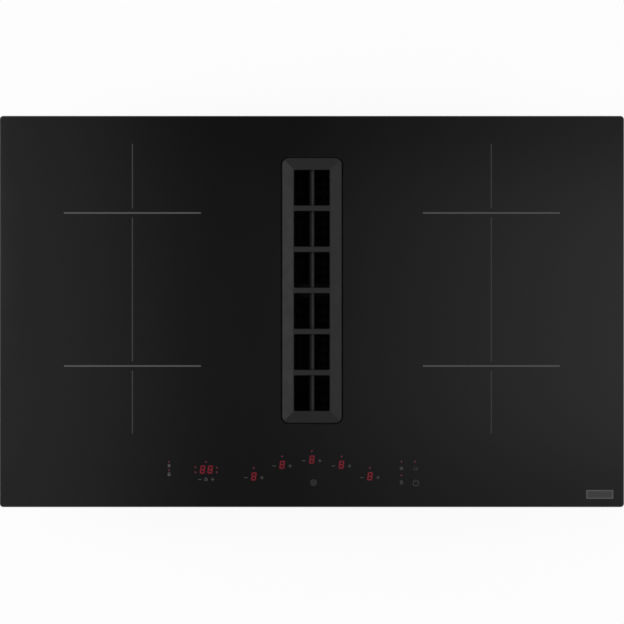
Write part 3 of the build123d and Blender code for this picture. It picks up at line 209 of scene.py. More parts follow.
class Shade:
    """Small helper that builds one procedural material."""

    def __init__(self, name):
        self.material = bpy.data.materials.new(name)
        self.material.use_nodes = True
        self.tree = self.material.node_tree
        self.shader = self.tree.nodes["Principled BSDF"]
        self.place = self.tree.nodes.new("ShaderNodeTexCoord").outputs["Object"]

    def set(self, **values):
        for name, value in values.items():
            self.shader.inputs[name.replace("_", " ")].default_value = value

    def join(self, output, name):
        self.tree.links.new(output, self.shader.inputs[name])

    def node(self, kind, *inputs, **settings):
        return add_node(self.tree, kind, *inputs, **settings)

    def mapped(self, change, x, y, z):
        """The piece's own coordinates with another Scale or Location."""
        made = self.node("ShaderNodeMapping", ("Vector", self.place), (change, (x, y, z)))
        return made.outputs[0]

    def noise(self, size, detail=3.0, roughness=0.55, place=None):
        """Noise whose features are about that many metres wide."""
        return self.node(
            "ShaderNodeTexNoise",
            ("Vector", place or self.place),
            ("Scale", 1.0 / size),
            ("Detail", detail),
            ("Roughness", roughness),
        ).outputs["Fac"]

    def cells(self, size, output="Color", place=None):
        return self.node(
            "ShaderNodeTexVoronoi", ("Vector", place or self.place), ("Scale", 1.0 / size)
        ).outputs[output]

    def math(self, operation, first, second=0.0):
        return calculate(self.tree, operation, first, second)

    def spread(self, value, low, high, from_low=0.0, from_high=1.0):
        return map_range(self.tree, value, low, high, from_low, from_high)

    def mix(self, share, first, second):
        return mix_colours(self.tree, share, first, second)

    def bump(self, height, distance, strength, under=None):
        made = self.node(
            "ShaderNodeBump", ("Height", height), ("Distance", distance), ("Strength", strength)
        )
        if under:
            self.tree.links.new(under, made.inputs["Normal"])
        return made.outputs[0]

    def axis(self, name, place=None):
        return self.node("ShaderNodeSeparateXYZ", (0, place or self.place)).outputs[name]


def grey(value, tint=(1.0, 1.0, 1.0)):
    return tuple(value * share for share in tint) + (1.0,)


def toned(colour, factor):
    """Colour made darker or lighter, up to white, with its alpha."""
    return tuple(min(part * factor, 1.0) for part in colour) + (1.0,)


def moulded(name, colour, roughness=0.55, grain=0.0007, depth=0.00006):
    """Moulded plastic with a fine spark-eroded grain and slightly uneven sheen."""
    cloud = 0.12
    uneven = 0.07
    shade = Shade(name)
    clouds = shade.noise(0.06, detail=2.0)
    darker, lighter = toned(colour, 1.0 - cloud), toned(colour, 1.0 + cloud)
    shade.join(shade.mix(clouds, darker, lighter), "Base Color")
    patches = shade.noise(0.018, detail=3.0)
    smooth, rough = roughness - uneven, roughness + uneven
    shade.join(shade.spread(patches, smooth, rough, from_low=0.3, from_high=0.7), "Roughness")
    shade.join(shade.bump(shade.noise(grain, detail=2.0), depth, strength=0.6), "Normal")
    return shade.material


def dark_plastic(name, value):
    """Deep black moulded plastic with a dull grain."""
    shade = Shade(name)
    clouds = shade.noise(0.02, detail=2.0)
    shade.join(shade.mix(clouds, grey(value * 0.8), grey(value * 1.25)), "Base Color")
    patches = shade.noise(0.015, detail=3.0)
    shade.join(shade.spread(patches, 0.72, 0.86, from_low=0.3, from_high=0.7), "Roughness")
    grain = shade.noise(0.0008, detail=2.0)
    shade.join(shade.bump(grain, distance=0.00006, strength=0.6), "Normal")
    shade.set(Specular_IOR_Level=0.12)
    return shade.material


def rubbery(name, colour, roughness=0.75, pores=0.0012, depth=0.00008):
    """Foam or silicone with small open pores, darker towards each pore's middle as painted shade.
    """
    uneven = 0.06
    shade = Shade(name)
    cells = shade.cells(pores, "Distance")
    # Colour darker towards each pore's middle: painted shade in the pores
    shade.join(shade.mix(cells, toned(colour, 1.0), toned(colour, 1.35)), "Base Color")
    patches = shade.noise(0.012)
    shade.join(shade.spread(patches, roughness - uneven, roughness + uneven), "Roughness")
    shade.join(shade.bump(cells, depth, strength=0.5), "Normal")
    return shade.material


def sheet_metal(name, colour, roughness, along):
    """Rolled or brushed metal whose fine lines run along one axis."""
    grain = 0.0006
    streak = 0.035
    shade = Shade(name)
    scale = tuple(grain / streak if axis == along else 1.0 for axis in "xyz")
    lines = shade.noise(grain, detail=3.0, roughness=0.6, place=shade.mapped("Scale", *scale))
    clouds = shade.noise(0.05, detail=2.0)
    darker = toned(colour, 0.86)
    base = shade.mix(lines, darker, toned(colour, 1.0))
    stained = shade.spread(clouds, 0.0, 0.35, from_low=0.35, from_high=0.75)
    shade.join(shade.mix(stained, base, darker), "Base Color")
    dull = shade.spread(lines, roughness - 0.08, roughness + 0.1, from_low=0.25, from_high=0.75)
    shade.join(dull, "Roughness")
    shade.join(shade.bump(lines, distance=0.00002, strength=0.5), "Normal")
    shade.set(Metallic=1.0)
    return shade.material


def zinc_sheet(name, colour):
    """Galvanised sheet: spangles of different grey and sheen, under a fine haze."""
    roughness = 0.42
    spangle_size = 0.0065
    spangle_warp = 0.006
    spangle_sheen = 0.07
    haze_sheen = 0.04
    shade = Shade(name)
    warp = shade.math("MULTIPLY", shade.noise(0.02, detail=3.0), spangle_warp)
    inputs = ((0, shade.place), (1, (1.0, 1.0, 1.0)), (2, warp))
    wobble = shade.node("ShaderNodeVectorMath", *inputs, operation="MULTIPLY_ADD")
    spangles = shade.cells(spangle_size, "Color", wobble.outputs[0])
    tone = shade.node("ShaderNodeSeparateColor", (0, spangles)).outputs[0]
    haze = shade.noise(0.0012, detail=2.0)
    shade.join(shade.mix(tone, toned(colour, 0.88), toned(colour, 1.08)), "Base Color")
    broad = shade.spread(tone, roughness - spangle_sheen, roughness + spangle_sheen)
    sheen = shade.math("ADD", broad, shade.spread(haze, -haze_sheen, haze_sheen))
    shade.join(sheen, "Roughness")
    relief = shade.math("ADD", tone, shade.math("MULTIPLY", haze, 0.4))
    shade.join(shade.bump(relief, distance=0.00003, strength=0.35), "Normal")
    shade.set(Metallic=1.0)
    return shade.material


def ceramic_glass():
    """Polished black glass-ceramic with a frosted ground edge and faint wipe marks."""
    top_rise = 0.98
    under_rise = -0.5
    shade = Shade("ceramic_glass")
    facing = shade.node("ShaderNodeNewGeometry").outputs["True Normal"]
    rise = shade.axis("Z", facing)
    beside_top = shade.math("LESS_THAN", rise, top_rise)
    ground = shade.math("MULTIPLY", beside_top, shade.math("GREATER_THAN", rise, under_rise))
    frost = shade.noise(0.0004, detail=2.0)
    edge_colour = shade.mix(frost, grey(0.011), grey(0.02))
    wiped = shade.mapped("Scale", 1.0, 0.35, 1.0)
    smears = shade.noise(0.09, detail=4.0, roughness=0.6, place=wiped)
    face_colour = shade.mix(smears, grey(0.0036), grey(0.0042))
    shade.join(shade.mix(ground, face_colour, edge_colour), "Base Color")
    face_sheen = shade.spread(smears, 0.05, 0.085, from_low=0.35, from_high=0.7)
    edge_sheen = shade.spread(frost, 0.34, 0.46)
    shade.join(mix_values(shade.tree, ground, face_sheen, edge_sheen), "Roughness")
    relief = shade.math("MULTIPLY", frost, ground)
    shade.join(shade.bump(relief, distance=0.00004, strength=0.6), "Normal")
    shade.set(IOR=1.52)
    return shade.material


def enamelled_casting():
    """Matt black enamel on cast iron: a fine sandy grain with a slight swell under it.

    The vane below the bars has less sheen than the rim, fading in with depth: painted shade for
    the shadow under the bars.
    """
    vane_shaded_gloss = 0.18
    rim_gloss = 0.26
    shade = Shade("enamelled_casting")
    grain = shade.noise(0.0005, detail=3.0, roughness=0.6)
    swell = shade.noise(0.012, detail=2.0)
    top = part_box("grille")[1].z
    vane_crest = top - GRILLE_VANE_DROP * MM
    rim_edge = top - GRILLE_EDGE_DROP * MM
    # Less sheen lower down: painted shade on the vane under the bars
    gloss = shade.spread(shade.axis("Z"), vane_shaded_gloss, rim_gloss, vane_crest, rim_edge)
    shade.join(gloss, "Specular IOR Level")
    shade.join(shade.mix(grain, grey(0.0055), grey(0.0105)), "Base Color")
    shade.join(shade.spread(swell, 0.44, 0.54, from_low=0.3, from_high=0.7), "Roughness")
    under = shade.bump(swell, distance=0.00012, strength=0.35)
    shade.join(shade.bump(grain, distance=0.00007, strength=0.6, under=under), "Normal")
    return shade.material


def coated_steel(name, value, roughness):
    """Powder coat on steel, with its orange peel and rubbed patches."""
    shade = Shade(name)
    peel = shade.noise(0.0022, detail=2.0)
    rub = shade.noise(0.03, detail=4.0)
    shade.join(shade.mix(rub, grey(value * 0.85), grey(value * 1.2)), "Base Color")
    dull = shade.spread(rub, roughness - 0.06, roughness + 0.08, from_low=0.3, from_high=0.7)
    shade.join(dull, "Roughness")
    shade.join(shade.bump(peel, distance=0.00005, strength=0.5), "Normal")
    shade.set(Specular_IOR_Level=0.14)
    return shade.material


def litz_winding(name, x, y):
    """Varnished litz wire laid in rings about the coil's middle, with painted light and shade on
    the turns.
    """
    turn_pitch = 0.0024
    groove_shade_copper = grey(0.12, (1.0, 0.36, 0.14))
    crest_highlight_copper = grey(0.66, (1.0, 0.52, 0.28))
    shade = Shade(name)
    from_middle = shade.mapped("Location", -x, -y, 0.0)
    squares = [
        shade.math("MULTIPLY", part, part)
        for part in (shade.axis("X", from_middle), shade.axis("Y", from_middle))
    ]
    radius = shade.math("SQRT", shade.math("ADD", *squares))
    turns = shade.math("SINE", shade.math("MULTIPLY", radius, 2.0 * math.pi / turn_pitch))
    strands = shade.noise(0.0006, detail=2.0)
    rounds = shade.spread(turns, 0.0, 1.0, from_low=-1.0, from_high=1.0)
    height = shade.math("ADD", rounds, shade.math("MULTIPLY", strands, 0.3))
    # Copper lighter on each turn's crest and darker in the grooves: painted highlight and painted
    # shade
    lit = shade.spread(height, 0.0, 1.0, from_low=0.2, from_high=1.1)
    shade.join(shade.mix(lit, groove_shade_copper, crest_highlight_copper), "Base Color")
    shade.join(shade.spread(strands, 0.3, 0.45), "Roughness")
    shade.join(shade.bump(height, distance=0.0005, strength=0.8), "Normal")
    shade.set(Metallic=0.85)
    return shade.material


def solder_mask():
    """Green board: a faint pattern of tracks under a glossy mask."""
    track_edge = 0.32
    shade = Shade("solder_mask")
    tracks = shade.cells(0.006, "Distance")
    gloss = shade.noise(0.002, detail=2.0)
    share = shade.math("GREATER_THAN", tracks, track_edge)
    shade.join(shade.mix(share, (0.012, 0.085, 0.03, 1.0), (0.03, 0.15, 0.06, 1.0)), "Base Color")
    shade.join(shade.spread(gloss, 0.22, 0.34), "Roughness")
    shade.join(shade.bump(share, distance=0.00003, strength=0.5), "Normal")
    return shade.material


def fired_print(kind):
    """Fired enamel print: matt grey with a fine screen grain."""
    value = PRINT_TONES[kind]
    shade = Shade(f"{kind}_print")
    grain = shade.noise(0.0005, detail=2.0)
    shade.join(shade.mix(grain, grey(value * 0.86), grey(value * 1.12)), "Base Color")
    shade.join(shade.spread(grain, 0.42, 0.58), "Roughness")
    shade.join(shade.bump(grain, distance=0.00002, strength=0.4), "Normal")
    return shade.material


def lit_lens(name, colour):
    """Lit segment under the polished glass."""
    shade = Shade(name)
    core = shade.noise(0.0016, detail=1.0)
    full = toned(colour, 1.0)
    shade.join(shade.mix(core, toned(colour, 0.8), full), "Base Color")
    shade.set(Roughness=0.35, Specular_IOR_Level=0.0, Coat_Weight=1.0, Coat_Roughness=0.05)
    shade.set(Emission_Color=full, Emission_Strength=LENS_GLOW)
    return shade.material


def assign(material, *names):
    for name in names:
        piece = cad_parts[name]
        piece.data.materials.clear()
        piece.data.materials.append(material)


def dress_frame():
    """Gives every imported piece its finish."""
    assign(ceramic_glass(), "glass_plate")
    assign(rubbery("closed_cell_foam", (0.022, 0.022, 0.023)), "rim_seal")
    assign(enamelled_casting(), "grille")
    silicone = rubbery("silicone", (0.02, 0.02, 0.021), 0.55, pores=0.002, depth=0.00003)
    assign(silicone, "grille_feet", "collar_seal", "duct_seal", "blower_bushes")
    assign(dark_plastic("collar_plastic", 0.0022), "intake_collar")
    assign(coated_steel("filter_coat", 0.0024, 0.7), "filter_frame")
    assign(coated_steel("filter_panel_coat", 0.0016, 0.75), "filter_mesh")
    assign(dark_plastic("grip_plastic", 0.0012), "filter_handle")
    tray = moulded("tray_plastic", (0.03, 0.031, 0.032), 0.42, grain=0.001, depth=0.00003)
    assign(tray, "drip_tray")
    zinc = zinc_sheet("galvanised_sheet", (0.37, 0.385, 0.4))
    assign(zinc, "body_tray", "air_duct")
    housing = moulded("housing_plastic", (0.022, 0.022, 0.024), 0.5)
    assign(
        housing,
        "collector_housing",
        "blower_lower_casing",
        "blower_upper_casing",
        "suction_hood",
        "outlet_spigot",
        "terminal_box",
        "terminal_cover",
    )
    assign(moulded("impeller_plastic", (0.06, 0.06, 0.065), 0.45), "impeller")
    assign(sheet_metal("motor_steel", (0.5, 0.5, 0.52), 0.35, "z"), "motor_rotor")
    assign(sheet_metal("ground_steel", (0.62, 0.62, 0.64), 0.2, "z"), "motor_shaft")
    assign(sheet_metal("stator_casting", (0.52, 0.53, 0.55), 0.5, "z"), "motor_stator")
    plated = sheet_metal("zinc_plated_steel", (0.6, 0.61, 0.6), 0.34, "y")
    assign(plated, "housing_screws", "clamp_pivots", *(f"clamp_{place}" for place in PLACES))
    mica = moulded("mica", (0.5, 0.46, 0.36), 0.5, grain=0.003, depth=0.00002)
    assign(mica, "mica_sheets")
    assign(moulded("ferrite", (0.05, 0.05, 0.055), 0.6, grain=0.0009), "ferrite_bars")
    assign(moulded("sensor_plastic", (0.7, 0.69, 0.65), 0.5), "temperature_sensors")
    natural = moulded("natural_plastic", (0.55, 0.51, 0.42), 0.55)
    formers = (f"coil_former_{place}" for place in PLACES)
    assign(natural, "carrier_posts", "control_holder", *formers)
    assign(sheet_metal("spring_steel", (0.5, 0.5, 0.52), 0.3, "x"), "carrier_springs")
    aluminium = sheet_metal("mill_aluminium", (0.7, 0.71, 0.72), 0.38, "y")
    assign(aluminium, *(f"coil_carrier_{side}" for side in SIDES))
    extruded = sheet_metal("extruded_aluminium", (0.66, 0.67, 0.68), 0.4, "x")
    assign(extruded, *(f"heatsink_{side}" for side in SIDES))
    assign(solder_mask(), "control_board", *(f"power_board_{side}" for side in SIDES))
    assign(moulded("display_lens", (0.05, 0.012, 0.012), 0.2), "display_modules")
    assign(rubbery("contact_foam", (0.08, 0.08, 0.085)), "touch_pads")
    fan = moulded("fan_plastic", (0.03, 0.03, 0.03), 0.45)
    for side in SIDES:
        assign(fan, f"cooling_fan_housing_{side}", f"cooling_fan_rotor_{side}")
    assign(moulded("terminal_plastic", (0.72, 0.72, 0.67), 0.4), "terminal_block")
    assign(moulded("gland_nylon", (0.03, 0.03, 0.031), 0.45), "cable_gland")
    for place in PLACES:
        low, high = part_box(f"coil_winding_{place}")
        middle = (low + high) / 2
        assign(litz_winding(f"litz_{place}", middle.x, middle.y), f"coil_winding_{place}")


# Making pieces, and the moulded web


def link_piece(name, data):
    """Object of that data, in the scene."""
    piece = bpy.data.objects.new(name, data)
    bpy.context.scene.collection.objects.link(piece)
    return piece


def place_mesh(name, mesh, material):
    """Piece of that name made from a finished bmesh."""
    data = bpy.data.meshes.new(name)
    mesh.to_mesh(data)
    mesh.free()
    data.materials.append(material)
    return link_piece(name, data)


def outlet_web():
    """Upright web that closes the corner between the casing's slanting wall and the spigot."""
    low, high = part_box("outlet_spigot")
    left = low.x
    right = low.x + WEB_WIDTH * MM
    cut = WEB_CORNER * MM
    outline = (
        (left + cut, low.z),
        (right, low.z),
        (right, high.z),
        (left + cut, high.z),
        (left, high.z - cut),
        (left, low.z + cut),
    )
    mesh = bmesh.new()
    front = [mesh.verts.new((x, low.y - WEB_THICKNESS * MM, z)) for x, z in outline]
    face = mesh.faces.new(front)
    made = bmesh.ops.extrude_face_region(mesh, geom=[face])
    moved = [item for item in made["geom"] if isinstance(item, bmesh.types.BMVert)]
    bmesh.ops.translate(mesh, verts=moved, vec=(0.0, WEB_THICKNESS * MM, 0.0))
    bmesh.ops.recalc_face_normals(mesh, faces=mesh.faces)
    bmesh.ops.bevel(
        mesh, geom=mesh.edges[:], offset=WEB_BEVEL * MM, segments=WEB_BEVEL_STEPS, affect="EDGES"
    )
    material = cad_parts["outlet_spigot"].data.materials[0]
    piece = place_mesh("outlet_corner_web", mesh, material)
    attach(piece, "root")


# Flat printed shapes, in millimetres


class Print:
    """Thin raised shapes on the glass, collected in one piece."""

    def __init__(self, name, rise=PRINT_RISE):
        self.name = name
        self.mesh = bmesh.new()
        self.low = GLASS_TOP - PRINT_SINK * MM
        self.high = GLASS_TOP + rise * MM

    def corner(self, point, height):
        return self.mesh.verts.new((point[0] * MM, point[1] * MM, height))

    def polygon(self, points):
        """Closed convex outline, given anticlockwise."""
        top = [self.corner(point, self.high) for point in points]
        bottom = [self.corner(point, self.low) for point in points]
        self.mesh.faces.new(top)
        self.mesh.faces.new(reversed(bottom))
        for index in range(len(points)):
            after = (index + 1) % len(points)
            self.mesh.faces.new((top[index], bottom[index], bottom[after], top[after]))

    def band(self, points, width, closed=False):
        """Stroke of even width along a path, with mitred corners."""
        mitre_limit = 0.3
        count = len(points)
        paths = [Vector(point) for point in points]
        sides = []
        for index, point in enumerate(paths):
            before = paths[index - 1] if index or closed else None
            after = paths[(index + 1) % count] if index < count - 1 or closed else None
            steps = []
            if before is not None:
                steps.append((point - before).normalized())
            if after is not None:
                steps.append((after - point).normalized())
            heading = sum(steps, Vector((0.0, 0.0))).normalized()
            normal = Vector((-heading.y, heading.x))
            reach = width / 2 / max(abs(heading.dot(steps[0])), mitre_limit)
            sides.append((point + normal * reach, point - normal * reach))
        rings = []
        for left, right in sides:
            upper = (self.corner(left, self.high), self.corner(right, self.high))
            lower = (self.corner(right, self.low), self.corner(left, self.low))
            rings.append(upper + lower)
        last = count if closed else count - 1
        for index in range(last):
            here = rings[index]
            there = rings[(index + 1) % count]
            for side in range(len(here)):
                turn = (side + 1) % len(here)
                self.mesh.faces.new((here[side], here[turn], there[turn], there[side]))
        if not closed:
            self.mesh.faces.new(reversed(rings[0]))
            self.mesh.faces.new(rings[-1])

    def disc(self, x, y, radius):
        self.polygon(full_turn(x, y, radius, ROUND_STEPS // 2))

    def circle(self, x, y, radius, width, steps=ROUND_STEPS):
        self.band(full_turn(x, y, radius, steps), width, closed=True)

    def finish(self, material, body="root"):
        """Makes the shapes one piece that rides the body."""
        bmesh.ops.recalc_face_normals(self.mesh, faces=self.mesh.faces)
        piece = place_mesh(self.name, self.mesh, material)
        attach(piece, body)


def full_turn(x, y, radius, steps):
    """Points round a circle, whose first isn't repeated at the end."""
    return arc(x, y, radius, 0, 360 * (1 - 1 / steps), steps - 1)


def arc(x, y, radius, start, end, steps):
    """Points along an arc, with angles in degrees."""
    turns = [math.radians(start + (end - start) * index / steps) for index in range(steps + 1)]
    return [(x + radius * math.cos(turn), y + radius * math.sin(turn)) for turn in turns]


def rectangle(x, y, width, height):
    return [
        (x - width / 2, y - height / 2),
        (x + width / 2, y - height / 2),
        (x + width / 2, y + height / 2),
        (x - width / 2, y + height / 2),
    ]


def zone_marks():
    """One upright and two level lines on each side, the upright broken round each level line."""
    levels = Print("zone_level_lines")
    uprights = Print("zone_upright_lines")
    for side in (-1, 1):
        x = side * ZONE_X
        for y in (ZONE_REAR_Y, ZONE_FRONT_Y):
            levels.polygon(rectangle(x, y, 2 * ZONE_LINE_HALF, ZONE_LINE_WIDTH))
        stretches = (
            (ZONE_UPRIGHT_REAR, ZONE_REAR_Y + ZONE_BREAK),
            (ZONE_REAR_Y - ZONE_BREAK, ZONE_FRONT_Y + ZONE_BREAK),
            (ZONE_FRONT_Y - ZONE_BREAK, ZONE_UPRIGHT_FRONT),
        )
        for rear, front in stretches:
            uprights.polygon(rectangle(x, (rear + front) / 2, ZONE_UPRIGHT_WIDTH, rear - front))
    levels.finish(fired_print("level"))
    uprights.finish(fired_print("upright"))


def badge_place():
    """Bare printed plate at the front right, with a plain border line."""
    plate = Print("bare_badge_place")
    x, y = BADGE_CENTRE
    width, height = BADGE_SIZE
    inset = 2 * (BADGE_BORDER + BADGE_GAP)
    plate.polygon(rectangle(x, y, width - inset, height - inset))
    plate.finish(fired_print("badge_field"))
    border = Print("bare_badge_border")
    path = rectangle(x, y, width - BADGE_BORDER, height - BADGE_BORDER)
    border.band(path, BADGE_BORDER, closed=True)
    border.finish(fired_print("badge_border"))


# Ends of a digit's segments, in shares of its width and half its height
SEGMENTS = (
    ((-0.5, 1.0), (0.5, 1.0)),
    ((-0.5, 0.0), (0.5, 0.0)),
    ((-0.5, -1.0), (0.5, -1.0)),
    ((-0.5, 0.0), (-0.5, 1.0)),
    ((0.5, 0.0), (0.5, 1.0)),
    ((-0.5, -1.0), (-0.5, 0.0)),
    ((0.5, -1.0), (0.5, 0.0)),
)


def digit(target, x, y):
    """Seven lit segments of a slanted figure eight."""
    width = DIGIT_WIDTH - DIGIT_STROKE
    half_height = (DIGIT_HEIGHT - DIGIT_STROKE) / 2
    half = DIGIT_STROKE / 2
    for start, end in SEGMENTS:
        first = Vector((start[0] * width, start[1] * half_height))
        last = Vector((end[0] * width, end[1] * half_height))
        along = (last - first).normalized()
        across = Vector((-along.y, along.x))
        first += along * DIGIT_GAP
        last -= along * DIGIT_GAP
        outline = (
            first,
            first + along * half - across * half,
            last - along * half - across * half,
            last,
            last - along * half + across * half,
            first + along * half + across * half,
        )
        target.polygon([(x + point.x + DIGIT_SLANT * point.y, y + point.y) for point in outline])


def minus(target, x, y):
    target.polygon(rectangle(x, y, KEY_SIZE, KEY_STROKE))


def plus(target, x, y):
    half = KEY_SIZE / 2
    thin = KEY_STROKE / 2
    minus(target, x, y)
    target.polygon(rectangle(x, y + (half + thin) / 2, KEY_STROKE, half - thin))
    target.polygon(rectangle(x, y - (half + thin) / 2, KEY_STROKE, half - thin))


def displays():
    """Red digits and dots, with dim windows behind the digits."""
    digits = Print("display_digits", LIT_RISE)
    lamps = Print("indicator_dots", LIT_RISE)
    windows = Print("display_windows", WINDOW_RISE)
    window = (DIGIT_WIDTH + 2 * WINDOW_MARGIN, DIGIT_HEIGHT + 2 * WINDOW_MARGIN)
    for x, y in TIMER_DIGITS + ZONE_DIGITS:
        digit(digits, x, y)
        corners = rectangle(0.0, 0.0, *window)
        windows.polygon([(x + px + DIGIT_SLANT * py, y + py) for px, py in corners])
    zone_lamps = tuple((x, y + ZONE_LAMP_RISE) for x, y in ZONE_DIGITS)
    for x, y in TIMER_LAMPS + zone_lamps + SIDE_LAMPS:
        lamps.disc(x, y, LAMP_RADIUS)
    digits.finish(lit_lens("lit_segments", DIGIT_RED))
    lamps.finish(lit_lens("lit_dots", DOT_RED))
    windows.finish(lit_lens("display_window", WINDOW_RED))


def padlock(target, x, y):
    """Closed padlock: a body under a shackle."""
    body_width, body_height, body_drop = 3.6, 2.8, 1.0
    radius, rise, foot, stroke = 1.2, 1.1, 0.4, 0.7
    target.polygon(rectangle(x, y - body_drop, body_width, body_height))
    bow = arc(x, y + rise, radius, 180, 0, 8)
    target.band([(x - radius, y + foot)] + bow + [(x + radius, y + foot)], stroke)


def pause_bars(target, x, y):
    offset, width, height = 0.95, 1.15, 3.9
    for side in (-1, 1):
        target.polygon(rectangle(x + side * offset, y, width, height))


def clock_sign(target, x, y):
    """Clock face with two hands."""
    radius, ring_width, hand_width = 2.0, 0.7, 0.55
    long_hand, short_hand, droop = 1.3, 1.0, 0.4
    target.circle(x, y, radius, ring_width, ROUND_STEPS // 2)
    target.band([(x, y + long_hand), (x, y), (x + short_hand, y - droop)], hand_width)


def warm_sign(target, x, y):
    """Three rising waves over a bar."""
    gap, swing, drop, rise, stroke = 1.4, 0.35, 1.2, 0.6, 0.55
    points, points_per_half_wave = 7, 3
    bar_drop, bar_width, bar_height = 2.3, 4.4, 0.75
    for offset in (-gap, 0.0, gap):
        wave = []
        for step in range(points):
            sway = swing * math.sin(step * math.pi / points_per_half_wave)
            wave.append((x + offset + sway, y - drop + step * rise))
        target.band(wave, stroke)
    target.polygon(rectangle(x, y - bar_drop, bar_width, bar_height))


def filter_sign(target, x, y):
    """Small square with a grid."""
    size, stroke = 3.3, 0.6
    inner, thin = 2.7, 0.5
    post_offset, post_height = 0.8, 1.1
    target.band(rectangle(x, y, size, size), stroke, closed=True)
    target.polygon(rectangle(x, y, inner, thin))
    for side in (-1, 1):
        target.polygon(rectangle(x, y + side * post_offset, thin, post_height))


def pan_sign(target, x, y):
    """Pan with a lid and a handle."""
    left, right, rim, base, stroke = x - 2.4, x + 1.6, y + 0.3, y - 1.7, 0.6
    lid_radius, lid_stroke = 1.7, 0.5
    handle_width, handle_height = 2.2, 0.6
    target.band([(left, rim), (left, base), (right, base), (right, rim)], stroke)
    target.band(arc(x - 0.4, y + 0.5, lid_radius, 170, 10, 8), lid_stroke)
    target.polygon(rectangle(x + 3.0, y - 0.1, handle_width, handle_height))


def power_sign(target, x, y):
    """Open ring with an upright bar in its gap."""
    radius, start, end = 3.9, 120, 420
    bar_rise, bar_height = 2.7, 3.8
    target.band(arc(x, y, radius, start, end, ROUND_STEPS), SIGN_STROKE)
    target.polygon(rectangle(x, y + bar_rise, SIGN_STROKE, bar_height))


def fan_sign(target, x, y):
    """Four curved fan blades in a ring."""
    ring_radius, ring_width, hub_radius = 3.7, 0.75, 0.6
    blades, first_angle, points, blade_width = 4, 20, 6, 0.8
    root_radius, radius_step, angle_step = 0.9, 0.36, 0.16
    target.circle(x, y, ring_radius, ring_width)
    target.disc(x, y, hub_radius)
    for blade in range(blades):
        turn = math.radians(360 / blades * blade + first_angle)
        path = []
        for step in range(points):
            angle = turn + angle_step * step
            radius = root_radius + radius_step * step
            path.append((x + radius * math.cos(angle), y + radius * math.sin(angle)))
        target.band(path, blade_width)


def key_signs():
    """Printed keys: a minus and a plus beside each display, and plain symbols."""
    keys = Print("key_marks")
    minus(keys, TIMER_MINUS_X, TIMER_KEYS_Y)
    plus(keys, TIMER_PLUS_X, TIMER_KEYS_Y)
    for x, y in ZONE_DIGITS:
        minus(keys, x - ZONE_KEY_REACH, y - ZONE_KEY_DROP)
        plus(keys, x + ZONE_KEY_REACH, y - ZONE_KEY_DROP)
    keys.finish(fired_print("key"))
    signs = Print("key_symbols")
    padlock(signs, *PADLOCK_PLACE)
    clock_sign(signs, TIMER_CLOCK_X, TIMER_KEYS_Y)
    filter_sign(signs, *FILTER_PLACE)
    warm_sign(signs, *WARM_PLACE)
    signs.finish(fired_print("symbol"))
    bright = Print("bright_symbol")
    pause_bars(bright, *PAUSE_PLACE)
    bright.finish(fired_print("bright"))
    faint = Print("faint_symbols")
    pan_sign(faint, *PAN_PLACE)
    power_sign(faint, *POWER_PLACE)
    fan_sign(faint, *FAN_PLACE)
    faint.finish(fired_print("faint"))


# Stage

# Camera: lens and sensor in millimetres, the rest in metres
CAMERA_LENS = 100.0
SENSOR = 36.0
CAMERA_REACH = 60.0
PHOTO_WIDTH = 0.829
PHOTO_SHIFT = (0.0002, -0.00067)

# Sky all round: its brightness, and how much it changes to the side and to the rear
SKY_LEVEL = 0.6
SIDE_TILT = 0.2
REAR_TILT = 0.08

# Dim field straight above the glass: brightness of its parts, and where each begins
# and ends, as a share of the direction's length along that axis
ZENITH_EDGE = 0.955
ZENITH_FADE = (-0.03, 0.015)
DARK_FIELD = 0.075
FIELD_TILT = 0.023
FIELD_TILT_REACH = 0.11
LEFT_FIELD = 0.235
LEFT_FIELD_REACH = (-0.165, -0.045)
RIGHT_FIELD = 0.235
RIGHT_FIELD_REACH = (-0.01, 0.18)
LEFT_SWELL = 0.04
RIGHT_SWELL = 0.23
SWELL_REACH = (-0.03, 0.176)
SWELL_DEPTH_SQUARED = 0.0125

# Floor and lamps, in metres and watts
FLOOR_HALF = 14.0
FLOOR_GRAIN = 0.5
FLOOR_WHITE = 0.9
LAMP_SIZE = (1.0, 2.0)
LEFT_LAMP = ((-1.7, 0.1, 1.9), 28.0)
RIGHT_LAMP = ((1.9, 0.1, 1.9), 13.0)


def camera():
    """Straight down on the middle of the glass, whose width fills the picture."""
    data = bpy.data.cameras.new("camera")
    data.lens = CAMERA_LENS
    data.sensor_width = SENSOR
    data.clip_end = CAMERA_REACH
    made = link_piece("camera", data)
    distance = PHOTO_WIDTH * CAMERA_LENS / SENSOR
    made.location = (*PHOTO_SHIFT, GLASS_TOP + distance)
    bpy.context.scene.camera = made


def overhead_light(tree, x, y):
    """Brightness of the dim field: darkest in the middle, lighter to both sides."""
    left = map_range(tree, x, LEFT_FIELD, 0.0, *LEFT_FIELD_REACH, "SMOOTHSTEP")
    right = map_range(tree, x, 0.0, RIGHT_FIELD, *RIGHT_FIELD_REACH)
    squared = calculate(tree, "MULTIPLY", y, y)
    swell = map_range(tree, squared, 1.0, 0.0, 0.0, SWELL_DEPTH_SQUARED, "SMOOTHSTEP")
    across = map_range(tree, x, LEFT_SWELL, RIGHT_SWELL, *SWELL_REACH)
    swell = calculate(tree, "MULTIPLY", swell, across)
    near, far = DARK_FIELD + FIELD_TILT, DARK_FIELD - FIELD_TILT
    tilt = map_range(tree, y, near, far, -FIELD_TILT_REACH, FIELD_TILT_REACH)
    sides = calculate(tree, "ADD", left, right)
    return calculate(tree, "ADD", sides, calculate(tree, "ADD", swell, tilt))


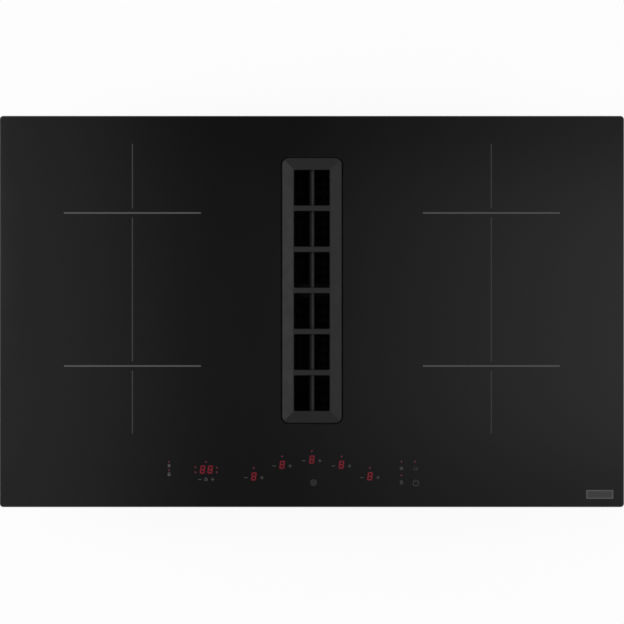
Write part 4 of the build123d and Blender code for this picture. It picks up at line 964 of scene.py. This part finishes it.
def sky():
    """Soft studio sky, a little brighter at the right and rear, with a dim field overhead."""
    world = bpy.data.worlds.new("studio")
    bpy.context.scene.world = world
    world.use_nodes = True
    tree = world.node_tree
    tree.nodes.clear()
    heading = add_node(tree, "ShaderNodeTexCoord").outputs["Generated"]
    x, y, z = add_node(tree, "ShaderNodeSeparateXYZ", (0, heading)).outputs
    overhead = overhead_light(tree, x, y)
    aside = map_range(tree, x, -SIDE_TILT, SIDE_TILT, -1.0, 1.0)
    behind = map_range(tree, y, -REAR_TILT, REAR_TILT, -1.0, 1.0)
    around = calculate(tree, "ADD", behind, calculate(tree, "ADD", aside, SKY_LEVEL))
    begin, end = (ZENITH_EDGE + fade for fade in ZENITH_FADE)
    share = map_range(tree, z, 0.0, 1.0, begin, end, "SMOOTHSTEP")
    level = mix_values(tree, share, around, overhead)
    seen = add_node(tree, "ShaderNodeLightPath").outputs["Is Camera Ray"]
    strength = mix_values(tree, seen, level, 1.0)
    backdrop = add_node(tree, "ShaderNodeBackground", (0, WHITE), (1, strength)).outputs[0]
    add_node(tree, "ShaderNodeOutputWorld", (0, backdrop))


def floor():
    """Plain pale floor that keeps a soft shadow."""
    data = bpy.data.meshes.new("floor")
    signs = ((-1, -1), (1, -1), (1, 1), (-1, 1))
    corners = [(x * FLOOR_HALF, y * FLOOR_HALF, 0) for x, y in signs]
    data.from_pydata(corners, [], [(0, 1, 2, 3)])
    piece = link_piece("floor", data)
    piece.location = (0, 0, FLOOR_Z)
    shade = Shade("floor_paper")
    grain = shade.noise(FLOOR_GRAIN, detail=3.0)
    shade.join(shade.mix(grain, grey(0.88), grey(0.9)), "Base Color")
    shade.set(Roughness=0.9)
    light = shade.node("ShaderNodeLightPath").outputs
    seen = shade.math("MAXIMUM", light["Is Camera Ray"], light["Is Glossy Ray"])
    seen = shade.math("MAXIMUM", seen, light["Is Transmission Ray"])
    glow = shade.node("ShaderNodeEmission", (0, WHITE), (1, 1.0)).outputs[0]
    share = shade.math("MULTIPLY", seen, FLOOR_WHITE)
    paper = shade.shader.outputs[0]
    blend = shade.node("ShaderNodeMixShader", (0, share), (1, paper), (2, glow))
    shade.tree.links.new(blend.outputs[0], shade.tree.nodes["Material Output"].inputs[0])
    data.materials.append(shade.material)


def lamp(name, place, power):
    """Soft box that faces the middle of the object."""
    data = bpy.data.lights.new(name, "AREA")
    data.shape = "RECTANGLE"
    data.size, data.size_y = LAMP_SIZE
    data.energy = power
    made = link_piece(name, data)
    made.location = place
    made.rotation_mode = "QUATERNION"
    made.rotation_quaternion = (-Vector(place)).to_track_quat("-Z", "Y")


def lights():
    """Two large soft boxes beside the object, the left one stronger."""
    lamp("left_box", *LEFT_LAMP)
    lamp("right_box", *RIGHT_LAMP)


dress_frame()
outlet_web()
zone_marks()
badge_place()
displays()
key_signs()
floor()
lights()
sky()
camera()

bpy.context.scene.view_settings.view_transform = "Standard"
